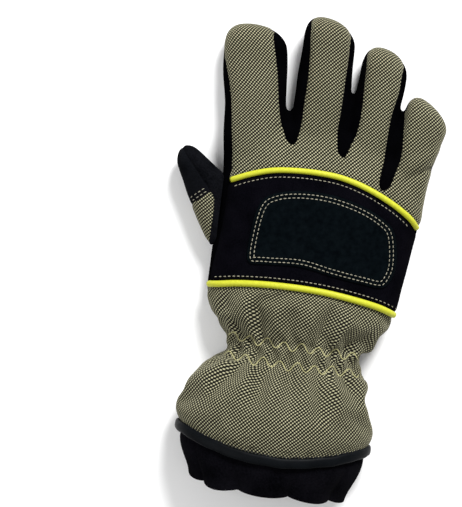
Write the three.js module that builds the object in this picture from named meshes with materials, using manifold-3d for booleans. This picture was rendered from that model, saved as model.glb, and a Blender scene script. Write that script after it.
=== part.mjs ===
// Firefighter's glove for the right hand, lying palm down, in millimetres.
// +Y runs to the fingertips, +Z out of the back of the hand, and the thumb lies at -X.
// While the pieces are made, y = 0 is the narrow of the wrist and z = 0 the surface it lies on.
// At the end the whole glove is moved so that the origin is the centre of its underside.

import * as THREE from 'three';
import { LoftGeometry } from 'three/addons/geometries/LoftGeometry.js';
import { mergeVertices } from 'three/addons/utils/BufferGeometryUtils.js';
import Module from 'manifold-3d';

const wasm = await Module();
wasm.setup();

// Driving dimensions of the hand
const PALM_WIDTH = 125;
const PALM_LENGTH = 125;
const HAND_HEIGHT = 37.5;
const WRIST_WIDTH = 82;
const WRIST_HEIGHT = 34;

// Driving dimensions of the fingers and the thumb
const FINGER_LENGTH = 110;
const FINGER_WIDTH = 39;
const FINGER_HEIGHT = 23.5;
const THUMB_LENGTH = 62;
const THUMB_WIDTH = 45;
const THUMB_HEIGHT = 25;

// Driving dimensions of the cuff
const CUFF_LENGTH = 48;
const CUFF_WIDTH = 120;
const CUFF_HEIGHT = 52;
const HEM_DIP = 13;
const GATHER_DEPTH = 2.4;
const GATHER_FADE = 19;
const BINDING_LENGTH = 6.2;
const BINDING_LIP = 0.5;
const WRISTLET_TUCK = 24;
const WRISTLET_REACH = 19;
const WRISTLET_WALL = 2.2;
const RUFFLE_DEPTH = 2.2;

// Thickness of the layers, and the gap left between neighbours
const WALL = 2.4;
const PATCH = 1.2;
const GAP = 0.3;
const FINE = 0.02;

// Seams, measured in from the silhouette, and the trims
const BACK_SEAM = 5.4;
const PALM_SEAM = 3.6;
const GAUNTLET_SEAM = 5;
const PIPING = 3.4;
const PALM_HEM = 0.232 * PALM_LENGTH;
const THUMB_SEAM = 1.5;
const THUMB_COVER = 30;
const TIP_PATCH = 30;
const THUMB_CROTCH = 0.66 * PALM_LENGTH;

// Counts that set how finely the forms are divided
const GATHERS = 8;
const RUFFLES = 8;
const HAND_SIDES = 32;
const FINGER_SIDES = 10;
const PIPING_STEPS = 22;

// Shape of the sections: up and down are how boxy they are above and below their level,
// and level is the share of the height at which they are widest
const handShape = { up: 2.2, down: 3.4, level: 0.3 };
const digitShape = { up: 2.4, down: 3.0, level: 0.45 };

// The underside of the skin lies on its patches, and the side seams run at the level MIDDLE
const REST = PATCH + GAP;
const SINK = 0.8;
const MIDDLE = REST + digitShape.level * (FINGER_HEIGHT - REST);
const FAR = 2 * PALM_WIDTH + 2 * FINGER_LENGTH;
const TOP = 2 * CUFF_HEIGHT;
const CUT = MIDDLE + GAP;
const trimHalf = PIPING / 2 + GAP;

// Palm, from the wrist to the crotches of the fingers
// at: share of PALM_LENGTH; left, right: shares of PALM_WIDTH; high: share of HAND_HEIGHT
const palmRows = [
  { at: 0.10, left: -0.374, right: 0.376, high: 0.94 },
  { at: 0.18, left: -0.426, right: 0.430, high: 0.98 },
  { at: 0.27, left: -0.462, right: 0.466, high: 1.00 },
  { at: 0.40, left: -0.469, right: 0.489, high: 0.99 },
  { at: 0.53, left: -0.460, right: 0.503, high: 0.98 },
  { at: 0.66, left: -0.462, right: 0.520, high: 1.00 },
  { at: 0.78, left: -0.466, right: 0.532, high: 0.97 },
  { at: 0.88, left: -0.458, right: 0.515, high: 0.88 },
  { at: 0.98, left: -0.425, right: 0.460, high: 0.75 },
  { at: 1.07, left: -0.360, right: 0.350, high: 0.62 },
  { at: 1.13, left: -0.260, right: 0.230, high: 0.50 },
];

// Narrow of the wrist; left, right: shares of WRIST_WIDTH
const wristRow = { left: -0.490, right: 0.505 };

// Gauntlet, from the wrist down to the hem
// at: share of CUFF_LENGTH; left, right: shares of CUFF_WIDTH; high: share of CUFF_HEIGHT
const cuffRows = [
  { at: 0.10, left: -0.362, right: 0.356, high: 0.67 },
  { at: 0.22, left: -0.410, right: 0.384, high: 0.74 },
  { at: 0.44, left: -0.476, right: 0.406, high: 0.86 },
  { at: 0.66, left: -0.525, right: 0.430, high: 0.95 },
  { at: 0.84, left: -0.546, right: 0.449, high: 0.99 },
  { at: 1.00, left: -0.541, right: 0.455, high: 1.00 },
  { at: 1.15, left: -0.530, right: 0.455, high: 1.00 },
  { at: 1.60, left: -0.530, right: 0.455, high: 1.00 },
];

// Fingers; root: shares of PALM_WIDTH and PALM_LENGTH; reach: share of FINGER_LENGTH
// wide: share of FINGER_WIDTH; lean: degrees to the right; left, right: seam insets, shares of BACK_SEAM
const fingers = {
  index: { rootX: -0.304, rootY: 0.76, reach: 0.925, wide: 1.00, lean: -6.1, left: 0.80, right: 1.10 },
  middle: { rootX: -0.020, rootY: 0.76, reach: 1.010, wide: 0.90, lean: -1.6, left: 1.15, right: 0.90 },
  ring: { rootX: 0.218, rootY: 0.76, reach: 0.887, wide: 0.76, lean: 1.8, left: 0.95, right: 0.85 },
  little: { rootX: 0.410, rootY: 0.70, reach: 0.703, wide: 0.72, lean: 6.0, left: 1.00, right: 0 },
};

// Outline of a finger; at: share of its reach; wide, high: shares of its width and height
const fingerRows = [
  { at: 0.00, wide: 1.00, high: 1.00 },
  { at: 0.50, wide: 1.00, high: 1.00 },
  { at: 0.80, wide: 0.97, high: 0.95 },
  { at: 0.90, wide: 0.89, high: 0.88 },
  { at: 0.96, wide: 0.72, high: 0.72 },
  { at: 1.00, wide: 0.42, high: 0.40 },
];

// Outline of the thumb, seen on its edge, so that it narrows all the way
const thumb = { rootX: -0.344, rootY: 0.56, lean: -41 };
const thumbRows = [
  { at: 0.00, wide: 1.00, high: 1.00 },
  { at: 0.35, wide: 0.79, high: 1.00 },
  { at: 0.68, wide: 0.54, high: 0.95 },
  { at: 0.86, wide: 0.41, high: 0.84 },
  { at: 0.95, wide: 0.30, high: 0.66 },
  { at: 1.00, wide: 0.16, high: 0.36 },
];

// How far a finger's seam on the back lies inside its silhouette, as a share of its own inset
const seamRows = [
  { at: 0.12, inset: 0.90 },
  { at: 0.42, inset: 1.00 },
  { at: 0.60, inset: 1.00 },
  { at: 0.80, inset: 0.90 },
  { at: 0.93, inset: 0.30 },
  { at: 1.00, inset: -0.60 },
];

// Lowest point of the side pieces between the fingers, on the back and on the palm
// x: share of PALM_WIDTH; back, palm: shares of PALM_LENGTH
const crotches = [
  { name: 'index_middle_gusset', fingers: ['index', 'middle'], x: -0.148, back: 1.013, palm: 1.03 },
  { name: 'middle_ring_gusset', fingers: ['middle', 'ring'], x: 0.113, back: 0.983, palm: 1.01 },
  { name: 'ring_little_gusset', fingers: ['ring', 'little'], x: 0.316, back: 0.848, palm: 0.93 },
];

// Pipings across the back; x: share of PALM_WIDTH; upper, lower: shares of PALM_LENGTH
const pipingRows = [
  { x: -0.62, upper: 0.700, lower: 0.270 },
  { x: -0.43, upper: 0.797, lower: 0.290 },
  { x: -0.33, upper: 0.842, lower: 0.308 },
  { x: -0.14, upper: 0.886, lower: 0.324 },
  { x: 0.00, upper: 0.893, lower: 0.327 },
  { x: 0.12, upper: 0.885, lower: 0.322 },
  { x: 0.25, upper: 0.850, lower: 0.307 },
  { x: 0.38, upper: 0.794, lower: 0.283 },
  { x: 0.47, upper: 0.737, lower: 0.257 },
  { x: 0.62, upper: 0.600, lower: 0.200 },
];

// Outlines of the patches; x: share of PALM_WIDTH; y: share of PALM_LENGTH
const labelCorners = [
  { x: -0.283, y: 0.425 }, { x: -0.288, y: 0.560 }, { x: -0.262, y: 0.735 }, { x: -0.090, y: 0.792 },
  { x: 0.090, y: 0.794 }, { x: 0.250, y: 0.752 }, { x: 0.420, y: 0.668 }, { x: 0.436, y: 0.500 },
  { x: 0.400, y: 0.386 }, { x: 0.200, y: 0.398 }, { x: -0.060, y: 0.434 },
];
const palmPatchCorners = [
  { x: 0.452, y: 0.715 }, { x: 0.485, y: 0.930 }, { x: 0.430, y: 0.975 }, { x: 0.330, y: 0.862 },
  { x: 0.262, y: 1.055 }, { x: 0.190, y: 1.065 }, { x: 0.113, y: 0.940 }, { x: 0.045, y: 1.110 },
  { x: -0.075, y: 1.115 }, { x: -0.148, y: 0.960 }, { x: -0.225, y: 1.070 }, { x: -0.350, y: 1.060 },
  { x: -0.310, y: 0.890 }, { x: -0.270, y: 0.758 }, { x: 0.000, y: 0.768 }, { x: 0.240, y: 0.752 },
];
const heelPatchCorners = [
  { x: 0.195, y: 0.275 }, { x: 0.375, y: 0.275 }, { x: 0.450, y: 0.560 }, { x: 0.435, y: 0.630 },
  { x: 0.230, y: 0.690 }, { x: 0.190, y: 0.560 },
];

// Smooth curve through one column of a table, by the column that orders its rows
function along(rows, order, column, at) {
  const last = rows.length - 1;
  let i = 0;
  while (i < last - 1 && rows[i + 1][order] < at) i += 1;
  const here = rows[i];
  const next = rows[i + 1];
  const before = rows[Math.max(i - 1, 0)];
  const after = rows[Math.min(i + 2, last)];
  const span = next[order] - here[order];
  const t = Math.min(Math.max((at - here[order]) / span, 0), 1);
  const slopeHere = (next[column] - before[column]) / (next[order] - before[order]) * span;
  const slopeNext = (after[column] - here[column]) / (after[order] - here[order]) * span;
  const t2 = t * t;
  const t3 = t2 * t;
  return (2 * t3 - 3 * t2 + 1) * here[column] + (t3 - 2 * t2 + t) * slopeHere
    + (3 * t2 - 2 * t3) * next[column] + (t3 - t2) * slopeNext;
}

// The hand's rows in millimetres, from the hem up to the crotches
const handRows = [
  ...cuffRows.map((row) => ({
    y: -row.at * CUFF_LENGTH,
    left: row.left * CUFF_WIDTH,
    right: row.right * CUFF_WIDTH,
    top: row.high * CUFF_HEIGHT,
  })).reverse(),
  { y: 0, left: wristRow.left * WRIST_WIDTH, right: wristRow.right * WRIST_WIDTH, top: WRIST_HEIGHT },
  ...palmRows.map((row) => ({
    y: row.at * PALM_LENGTH,
    left: row.left * PALM_WIDTH,
    right: row.right * PALM_WIDTH,
    top: row.high * HAND_HEIGHT,
  })),
];
const handEnd = handRows[handRows.length - 1].y;

// A closed geometry as a solid, and a solid as a geometry
function solid(geometry) {
  const bare = new THREE.BufferGeometry();
  bare.setAttribute('position', geometry.getAttribute('position').clone());
  bare.setIndex(geometry.getIndex());
  const merged = mergeVertices(bare, 1e-4);
  const mesh = new wasm.Mesh({
    numProp: 3,
    vertProperties: new Float32Array(merged.getAttribute('position').array),
    triVerts: new Uint32Array(merged.getIndex().array),
  });
  return new wasm.Manifold(mesh);
}

// Cuts leave slivers finer than FINE where two seams nearly meet, and these are cleared away
function mainBody(body) {
  const bodies = body.simplify(FINE).decompose();
  return bodies.reduce((most, other) => (other.volume() > most.volume() ? other : most));
}

function geometryOf(body) {
  const mesh = mainBody(body).getMesh();
  const geometry = new THREE.BufferGeometry();
  geometry.setAttribute('position', new THREE.BufferAttribute(mesh.vertProperties, 3));
  geometry.setIndex(new THREE.BufferAttribute(mesh.triVerts, 1));
  geometry.computeVertexNormals();
  return geometry;
}

// Straight-sided block over an outline in XY, from one level to another
function prism(points, low, high) {
  const shape = new THREE.Shape(points.map((p) => new THREE.Vector2(p.x, p.y)));
  const geometry = new THREE.ExtrudeGeometry(shape, { depth: high - low, bevelEnabled: false });
  geometry.translate(0, 0, low);
  return solid(geometry);
}

function block(lowX, highX, lowY, highY, lowZ, highZ) {
  const geometry = new THREE.BoxGeometry(highX - lowX, highY - lowY, highZ - lowZ);
  geometry.translate((lowX + highX) / 2, (lowY + highY) / 2, (lowZ + highZ) / 2);
  return solid(geometry);
}

// One closed section: rounded above its level, and boxier and flatter below it
function section(sides, shape, level, up, down, place) {
  const points = [];
  for (let i = 0; i < sides; i += 1) {
    const angle = (i / sides) * 2 * Math.PI;
    const sine = Math.sin(angle);
    const power = sine < 0 ? shape.down : shape.up;
    const across = Math.cos(angle);
    const rise = Math.sign(sine) * Math.max(1 - Math.abs(across) ** power, 0) ** (1 / power);
    const z = level + rise * (sine < 0 ? down : up);
    points.push(place(across, z, angle));
  }
  return points;
}

// How far the elastic pulls the skin in at each place round the wrist
function gather(y, angle) {
  const near = Math.exp(-((y / GATHER_FADE) ** 2));
  return GATHER_DEPTH * near * (Math.cos(GATHERS * angle) - 1) / 2;
}

// One section of the hand or gauntlet, moved out by an offset
function handSection(y, offset) {
  const left = along(handRows, 'y', 'left', y) - offset;
  const right = along(handRows, 'y', 'right', y) + offset;
  const top = along(handRows, 'y', 'top', y) + offset;
  const level = REST + handShape.level * (top - offset - REST);
  const low = REST - SINK - offset;
  const depth = Math.max(-y, 0) / CUFF_LENGTH;
  return section(HAND_SIDES, handShape, level, top - level, level - low, (across, z, angle) => {
    const pull = gather(y, angle);
    const x = (left + right) / 2 - across * ((right - left) / 2 + pull);
    const dip = HEM_DIP * depth * depth * (1 - across * across);
    const lifted = z + pull * Math.sin(angle);
    return new THREE.Vector3(x, y - dip, lifted);
  });
}

const handStations = [
  -1.5, -1.1, -0.86, -0.66, -0.46, -0.28, -0.12,
].map((share) => share * CUFF_LENGTH).concat([
  0, 0.08, 0.17, 0.28, 0.45, 0.62, 0.78, 0.88, 0.98, 1.06, 1.13,
].map((share) => share * PALM_LENGTH));

// The tube of the palm and gauntlet, carried on past the hem, where it is cut off later
function handTube(offset) {
  const stations = handStations.map((y) => (y === handEnd ? y + offset : y));
  const sections = stations.map((y) => handSection(y, offset));
  return solid(new LoftGeometry(sections, { capStart: true, capEnd: true }));
}

// A finger's own frame: along runs to its tip, aside to its left
function fingerFrame(finger, reach) {
  const lean = THREE.MathUtils.degToRad(finger.lean);
  const root = new THREE.Vector2(finger.rootX * PALM_WIDTH, finger.rootY * PALM_LENGTH);
  const ahead = new THREE.Vector2(Math.sin(lean), Math.cos(lean));
  const left = new THREE.Vector2(-ahead.y, ahead.x);
  const point = (run, aside) => root.clone().addScaledVector(ahead, run).addScaledVector(left, aside);
  return { reach, point };
}

// A tapering tube with a rounded tip, for a finger or the thumb
function digitTube(frame, rows, width, height, offset) {
  const sections = rows.map((row, i) => {
    const end = i === rows.length - 1 ? offset : 0;
    const half = row.wide * width / 2 + offset;
    const up = (height - MIDDLE) * row.high + offset;
    const down = (MIDDLE - REST + SINK) * row.high + offset;
    return section(FINGER_SIDES, digitShape, MIDDLE, up, down, (across, z) => {
      const p = frame.point(row.at * frame.reach + end, across * half);
      return new THREE.Vector3(p.x, p.y, z);
    });
  });
  return solid(new LoftGeometry(sections, { capStart: true, capEnd: true }));
}

const digits = {};
for (const [name, finger] of Object.entries(fingers)) {
  digits[name] = {
    ...finger,
    width: finger.wide * FINGER_WIDTH,
    frame: fingerFrame(finger, finger.reach * FINGER_LENGTH),
  };
}
const thumbFrame = fingerFrame(thumb, THUMB_LENGTH);

// Everything below the underside of a layer is cut off, so that the glove lies flat
function aboveFloor(body, offset) {
  const floor = block(-FAR, FAR, -FAR, FAR, -FAR, REST - offset);
  return body.subtract(floor);
}

function handForm(offset) {
  let form = handTube(offset);
  for (const digit of Object.values(digits)) {
    form = form.add(digitTube(digit.frame, fingerRows, digit.width, FINGER_HEIGHT, offset));
  }
  return aboveFloor(form, offset);
}

function thumbForm(offset) {
  return aboveFloor(digitTube(thumbFrame, thumbRows, THUMB_WIDTH, THUMB_HEIGHT, offset), offset);
}

// The hem's curve: lowest at the middle of the back and of the palm
function hemAt(x) {
  const left = along(handRows, 'y', 'left', -CUFF_LENGTH);
  const right = along(handRows, 'y', 'right', -CUFF_LENGTH);
  const share = (2 * x - left - right) / (right - left);
  return -CUFF_LENGTH - HEM_DIP * (1 - share * share);
}

// Everything past the curved hem of the gauntlet
function pastHem() {
  const rim = handSection(-CUFF_LENGTH, 0).slice(0, HAND_SIDES / 2 + 1);
  const edge = rim.map((p) => new THREE.Vector2(p.x, hemAt(p.x)));
  const ends = [-FAR, FAR].map((x) => new THREE.Vector2(x, edge[0].y));
  const below = [new THREE.Vector2(FAR, -FAR), new THREE.Vector2(-FAR, -FAR)];
  return prism([ends[0], ...edge, ends[1], ...below], -FAR, FAR);
}

// Half the width of a finger, straight between its rows
function halfWidth(rows, width, share) {
  let i = 0;
  while (i < rows.length - 2 && rows[i + 1].at < share) i += 1;
  const t = (share - rows[i].at) / (rows[i + 1].at - rows[i].at);
  return (rows[i].wide + (rows[i + 1].wide - rows[i].wide) * t) * width / 2;
}

// Seam up one side of a finger on the back; side is 1 at its left, grow moves it inwards
function backSeam(digit, side, grow) {
  const most = (side > 0 ? digit.left : digit.right) * BACK_SEAM;
  const points = seamRows.map((row) => {
    const half = halfWidth(fingerRows, digit.width, row.at);
    return digit.frame.point(row.at * digit.frame.reach, side * (half - most * row.inset - grow));
  });
  const last = seamRows[seamRows.length - 1];
  const aside = halfWidth(fingerRows, digit.width, last.at) - most * last.inset - grow;
  points.push(digit.frame.point(digit.frame.reach + FINGER_WIDTH / 2, side * aside));
  return points;
}

// Seam up one side of a digit on the palm, round to the middle of its tip and out past it
function palmSeam(frame, rows, width, side, grow) {
  const inset = PALM_SEAM + grow;
  const reach = frame.reach - inset;
  const points = rows.slice(1).map((row) => {
    const half = Math.max(row.wide * width / 2 - inset, GAP);
    return frame.point(row.at * reach, side * half);
  });
  points.push(frame.point(reach, side * (GAP / 2 - grow)));
  points.push(frame.point(frame.reach + FINGER_WIDTH / 2, side * (GAP / 2 - grow)));
  return points;
}

// The region of a side piece between two fingers, on the back and on the palm
function gussetOutline(crotch, face, grow) {
  const [one, two] = crotch.fingers.map((name) => digits[name]);
  const foot = new THREE.Vector2(crotch.x * PALM_WIDTH, crotch[face] * PALM_LENGTH - grow);
  if (face === 'back') {
    const keep = (p) => p.y > foot.y + BACK_SEAM;
    return [foot, ...backSeam(two, 1, grow).filter(keep), ...backSeam(one, -1, grow).filter(keep).reverse()];
  }
  const seam = (digit, side) => palmSeam(digit.frame, fingerRows, digit.width, side, grow);
  return [foot, ...seam(two, 1), ...seam(one, -1).reverse()];
}

// Distance in from the hand's silhouette, at one side
function handEdge(side, y, inset) {
  const column = side > 0 ? 'left' : 'right';
  return new THREE.Vector2(along(handRows, 'y', column, y) + side * inset, y);
}

// The pipings' height across the back
function pipingAt(which, x) {
  const rows = pipingRows.map((row) => ({ x: row.x * PALM_WIDTH, y: row[which] * PALM_LENGTH }));
  return along(rows, 'x', 'y', x);
}

// The same line moved square to itself, carried on past both silhouettes
function pipingLine(which, shift) {
  const line = [];
  for (let i = 0; i <= PIPING_STEPS; i += 1) {
    const x = (i / PIPING_STEPS - 0.5) * 1.2 * PALM_WIDTH;
    const slope = pipingAt(which, x + 0.5) - pipingAt(which, x - 0.5);
    const normal = new THREE.Vector2(-slope, 1).normalize();
    line.push(new THREE.Vector2(x, pipingAt(which, x)).addScaledVector(normal, shift));
  }
  return line;
}

// The region of the strips down the outer sides of the hand
function stripOutline(side, face, grow) {
  const digit = side > 0 ? digits.index : digits.little;
  const inset = face === 'back' ? digit[side > 0 ? 'left' : 'right'] * BACK_SEAM : PALM_SEAM;
  const foot = PALM_HEM - grow;
  const head = 0.8 * PALM_LENGTH;
  const edge = [0, 0.2, 0.4, 0.6, 0.8, 1].map((t) => handEdge(side, foot + t * (head - foot), inset + grow));
  const seam = face === 'back'
    ? backSeam(digit, side, grow)
    : palmSeam(digit.frame, fingerRows, digit.width, side, grow);
  const above = seam.filter((p) => p.y > 0.86 * PALM_LENGTH);
  const tip = above[above.length - 1];
  return [
    new THREE.Vector2(-side * FAR, foot),
    ...edge,
    ...above,
    new THREE.Vector2(-side * FAR, tip.y),
  ];
}

// Solids that several pieces are cut from
const hollow = handForm(-WALL).add(thumbForm(-WALL));
const shell = handForm(0).subtract(hollow).subtract(pastHem());
const patchBase = handForm(GAP);
const patchLayer = handForm(GAP + PATCH).subtract(patchBase);
const thumbShell = thumbForm(0).subtract(thumbForm(-WALL)).subtract(patchBase);
const thumbPatchLayer = thumbForm(GAP + PATCH).subtract(thumbForm(GAP)).subtract(patchBase);

// Cutters for the side pieces; grow widens them by the gap for what lies beside them
function sideCutter(backOutline, palmOutline, grow) {
  const upper = backOutline ? prism(backOutline, MIDDLE - 1, TOP) : null;
  const lower = prism(palmOutline, -1, MIDDLE + grow);
  return upper ? upper.add(lower) : lower;
}

function gussetCutter(crotch, grow) {
  return sideCutter(gussetOutline(crotch, 'back', grow), gussetOutline(crotch, 'palm', grow), grow);
}

function stripCutter(side, grow) {
  const back = side > 0 ? stripOutline(side, 'back', grow) : null;
  return sideCutter(back, stripOutline(side, 'palm', grow), grow);
}

const sideNeighbours = [
  ...crotches.map((crotch) => gussetCutter(crotch, GAP)),
  stripCutter(1, GAP),
  stripCutter(-1, GAP),
];

function clearOfSides(body) {
  let rest = body;
  for (const cutter of sideNeighbours) rest = rest.subtract(cutter);
  return rest;
}

// Regions of the back between the pipings
function acrossRegion(lowLine, highLine, low) {
  return prism([...lowLine, ...highLine.slice().reverse()], low, TOP);
}

const beyondTips = [new THREE.Vector2(-FAR, FAR), new THREE.Vector2(FAR, FAR)];
const belowHem = [new THREE.Vector2(-FAR, -FAR), new THREE.Vector2(FAR, -FAR)];

function backPanel() {
  const region = acrossRegion(pipingLine('upper', trimHalf), beyondTips, CUT);
  return clearOfSides(shell.intersect(region));
}

function knuckleBand() {
  const region = acrossRegion(pipingLine('lower', trimHalf), pipingLine('upper', -trimHalf), CUT);
  return clearOfSides(shell.intersect(region));
}

function gauntletPalmOutline(grow) {
  const levels = [-1.6, -1, -0.7, -0.4, -0.15, 0].map((t) => t * CUFF_LENGTH);
  levels.push(0.1 * PALM_LENGTH, PALM_HEM + grow - GAP);
  const inset = GAUNTLET_SEAM - grow;
  const left = levels.map((y) => handEdge(1, y, inset));
  const right = levels.map((y) => handEdge(-1, y, inset));
  return [...left, ...right.reverse()];
}

function gauntletBack() {
  const region = prism([...belowHem.slice().reverse(), ...pipingLine('lower', -trimHalf)].reverse(), -1, TOP);
  const palm = prism(gauntletPalmOutline(GAP), -1, MIDDLE);
  const above = block(-FAR, FAR, PALM_HEM - GAP, FAR, -1, CUT);
  return shell.intersect(region).subtract(palm).subtract(above);
}

function gauntletPalm() {
  return shell.intersect(prism(gauntletPalmOutline(0), -1, MIDDLE - GAP));
}

function palmPanel() {
  const region = block(-FAR, FAR, PALM_HEM, FAR, -1, MIDDLE - GAP);
  return clearOfSides(shell.intersect(region));
}

// The thumb's front, and the part of its shell on one side of the seam along its ridge
function thumbPalmCutter(grow) {
  const left = palmSeam(thumbFrame, thumbRows, THUMB_WIDTH, 1, 0).slice(0, -1);
  const right = palmSeam(thumbFrame, thumbRows, THUMB_WIDTH, -1, 0).slice(0, -1);
  const heel = [-1, 1].map((side) => thumbFrame.point(-THUMB_LENGTH, side * (THUMB_WIDTH / 2 - PALM_SEAM)));
  const outline = [...heel, ...left, ...right.reverse()];
  return prism(outline, -1, MIDDLE - GAP + grow);
}

function thumbAbove(side, low, high) {
  const seam = side > 0 ? THUMB_SEAM + GAP : THUMB_SEAM;
  const corners = [[low, seam], [high, seam], [high, side * FAR], [low, side * FAR]];
  const region = corners.map(([run, aside]) => thumbFrame.point(run, aside));
  return thumbShell.intersect(prism(region, -1, TOP)).subtract(thumbPalmCutter(GAP));
}

// A closed outline with rounded corners
function roundedOutline(corners) {
  const points = corners.map((c) => new THREE.Vector3(c.x * PALM_WIDTH, c.y * PALM_LENGTH, 0));
  return new THREE.CatmullRomCurve3(points, true, 'centripetal').getPoints(3 * points.length).slice(0, -1);
}

function tipPatch(frame, rows, width) {
  const reach = frame.reach - PALM_SEAM;
  const start = frame.reach - TIP_PATCH;
  const beyond = rows.map((row) => row.at).filter((at) => at * frame.reach > start + PALM_SEAM);
  const shares = [start / frame.reach, ...beyond];
  const sides = [1, -1].map((side) => shares.map((share) => {
    const half = Math.max(halfWidth(rows, width, share) - PALM_SEAM, GAP);
    return frame.point(Math.min(share * frame.reach, reach), side * half);
  }));
  return prism([...sides[0], ...sides[1].reverse()], -1, MIDDLE);
}

// A cord laid in the seam across the back, from one side seam to the other
function piping(which) {
  const seam = which === 'upper' ? digits.index.left * BACK_SEAM + trimHalf : GAP + PIPING / 4;
  const from = handEdge(1, pipingAt(which, -0.44 * PALM_WIDTH), seam);
  const to = handEdge(-1, pipingAt(which, 0.5 * PALM_WIDTH), GAP + PIPING / 4);
  const points = [];
  for (let i = 0; i <= PIPING_STEPS; i += 1) {
    const turn = (i / PIPING_STEPS) * Math.PI;
    const x = (from.x + to.x) / 2 - (to.x - from.x) / 2 * Math.cos(turn);
    const y = pipingAt(which, x);
    points.push(new THREE.Vector3(x, y, skinTop(x, y) - 0.25 * PIPING));
  }
  const round = new THREE.Shape();
  round.absarc(0, 0, PIPING / 2, 0, 2 * Math.PI);
  const path = new THREE.CatmullRomCurve3(points);
  const settings = { steps: PIPING_STEPS, extrudePath: path, curveSegments: 4, bevelEnabled: false };
  return solid(new THREE.ExtrudeGeometry(round, settings));
}

// Height of the hand's skin over a point of its back
function skinTop(x, y) {
  const left = along(handRows, 'y', 'left', y);
  const right = along(handRows, 'y', 'right', y);
  const top = along(handRows, 'y', 'top', y);
  const level = REST + handShape.level * (top - REST);
  const across = Math.min(Math.abs((2 * x - left - right) / (right - left)), 1);
  return level + (top - level) * (1 - across ** handShape.up) ** (1 / handShape.up);
}

// Ring round the hem, a little thicker than the wall it finishes
function cuffBinding() {
  const stations = [0, 0.35, 0.7, 1];
  const swell = [0.3, 1, 1, 0.2];
  const rows = (offset, lip) => stations.map((t, i) => {
    const ring = handSection(-CUFF_LENGTH, offset + lip * swell[i]);
    return ring.map((p) => p.clone().setY(hemAt(p.x) - GAP - t * BINDING_LENGTH));
  });
  const outside = rows(0, BINDING_LIP);
  const inside = rows(-WALL, -BINDING_LIP);
  return ringBody(outside, inside);
}

// A closed wall round the arm, lofted from its own cross-sections, from rows of rings outside and inside
function ringBody(outside, inside) {
  const loop = [...outside, ...inside.slice().reverse()];
  const sections = [];
  for (let i = 0; i <= HAND_SIDES; i += 1) sections.push(loop.map((ring) => ring[i % HAND_SIDES]));
  return solid(new LoftGeometry(sections));
}

// Ruffled inner cuff; at: share of its length from the tuck to the free edge
// fall, sag: how far its sides and its top draw in, as shares of WRISTLET_REACH; wave: share of RUFFLE_DEPTH
const wristletRows = [
  { at: 0.00, fall: 0.00, sag: 0.00, wave: 0.00 },
  { at: 0.50, fall: 0.04, sag: 0.04, wave: 0.15 },
  { at: 0.70, fall: 0.12, sag: 0.10, wave: 0.60 },
  { at: 0.86, fall: 0.26, sag: 0.18, wave: 1.00 },
  { at: 1.00, fall: 0.52, sag: 0.24, wave: 1.00 },
];

function wristlet() {
  const length = WRISTLET_TUCK + BINDING_LENGTH + WRISTLET_REACH;
  const start = WRISTLET_TUCK - CUFF_LENGTH;
  const rows = (offset) => wristletRows.map((row) => {
    const y = start - row.at * length;
    const lip = (BINDING_LIP + GAP) * Math.min(row.at / 0.45, 1);
    const inset = WALL + 2 * GAP + lip + offset;
    const ring = handSection(Math.max(y, -CUFF_LENGTH), -inset);
    const beyond = Math.min(y + CUFF_LENGTH, 0);
    return drawnIn(ring, row, REST + inset, beyond);
  });
  return ringBody(rows(0), rows(WRISTLET_WALL));
}

// A ring of the wristlet drawn in and ruffled, with its underside flat at a level
function drawnIn(ring, row, low, beyond) {
  const centreX = (ring[0].x + ring[HAND_SIDES / 2].x) / 2;
  const halfX = Math.abs(ring[0].x - ring[HAND_SIDES / 2].x) / 2;
  const centreZ = REST + 0.42 * CUFF_HEIGHT;
  const halfZ = centreZ - REST;
  return ring.map((p, i) => {
    const angle = (i / ring.length) * 2 * Math.PI;
    const ripple = row.wave * RUFFLE_DEPTH * (Math.cos(RUFFLES * angle) - 1);
    const shareX = (halfX - row.fall * WRISTLET_REACH + ripple) / halfX;
    const shareZ = (halfZ - row.sag * WRISTLET_REACH + ripple) / halfZ;
    const x = centreX + (p.x - centreX) * shareX;
    const z = centreZ + (Math.max(p.z, low) - centreZ) * shareZ;
    return new THREE.Vector3(x, p.y + beyond, z);
  });
}

// Finishes
const finishes = {
  weave: { color: 0x9a9470, roughness: 0.9, metalness: 0 },
  suede: { color: 0x141416, roughness: 0.95, metalness: 0 },
  knit: { color: 0x101012, roughness: 0.9, metalness: 0 },
  grip: { color: 0x2f3439, roughness: 0.8, metalness: 0 },
  piping: { color: 0xdde32b, roughness: 0.55, metalness: 0 },
  binding: { color: 0x1a1e22, roughness: 0.45, metalness: 0 },
  label: { color: 0x0e1214, roughness: 0.8, metalness: 0 },
  fleece: { color: 0x0c0c0e, roughness: 1, metalness: 0 },
};

const glove = new THREE.Group();

function addPiece(name, body, finish) {
  const piece = new THREE.Mesh(geometryOf(body), new THREE.MeshStandardMaterial(finishes[finish]));
  piece.name = name;
  glove.add(piece);
}

addPiece('back_panel', backPanel(), 'weave');
addPiece('knuckle_band', knuckleBand(), 'suede');
addPiece('gauntlet_back', gauntletBack(), 'weave');
addPiece('palm_panel', palmPanel(), 'grip');
addPiece('gauntlet_palm', gauntletPalm(), 'grip');
for (const crotch of crotches) addPiece(crotch.name, shell.intersect(gussetCutter(crotch, 0)), 'knit');
const belowBand = [...belowHem.slice().reverse(), ...pipingLine('lower', trimHalf)].reverse();
const underPiping = prism(belowBand, MIDDLE, TOP);
const indexSide = shell.intersect(stripCutter(1, 0)).subtract(underPiping);
addPiece('index_side_strip', indexSide.subtract(block(-FAR, FAR, -FAR, THUMB_CROTCH, -1, TOP)), 'knit');
addPiece('thumb_side_strip', indexSide.subtract(block(-FAR, FAR, THUMB_CROTCH - GAP, FAR, -1, TOP)), 'knit');
addPiece('little_side_strip', shell.intersect(stripCutter(-1, 0)), 'knit');

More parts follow.
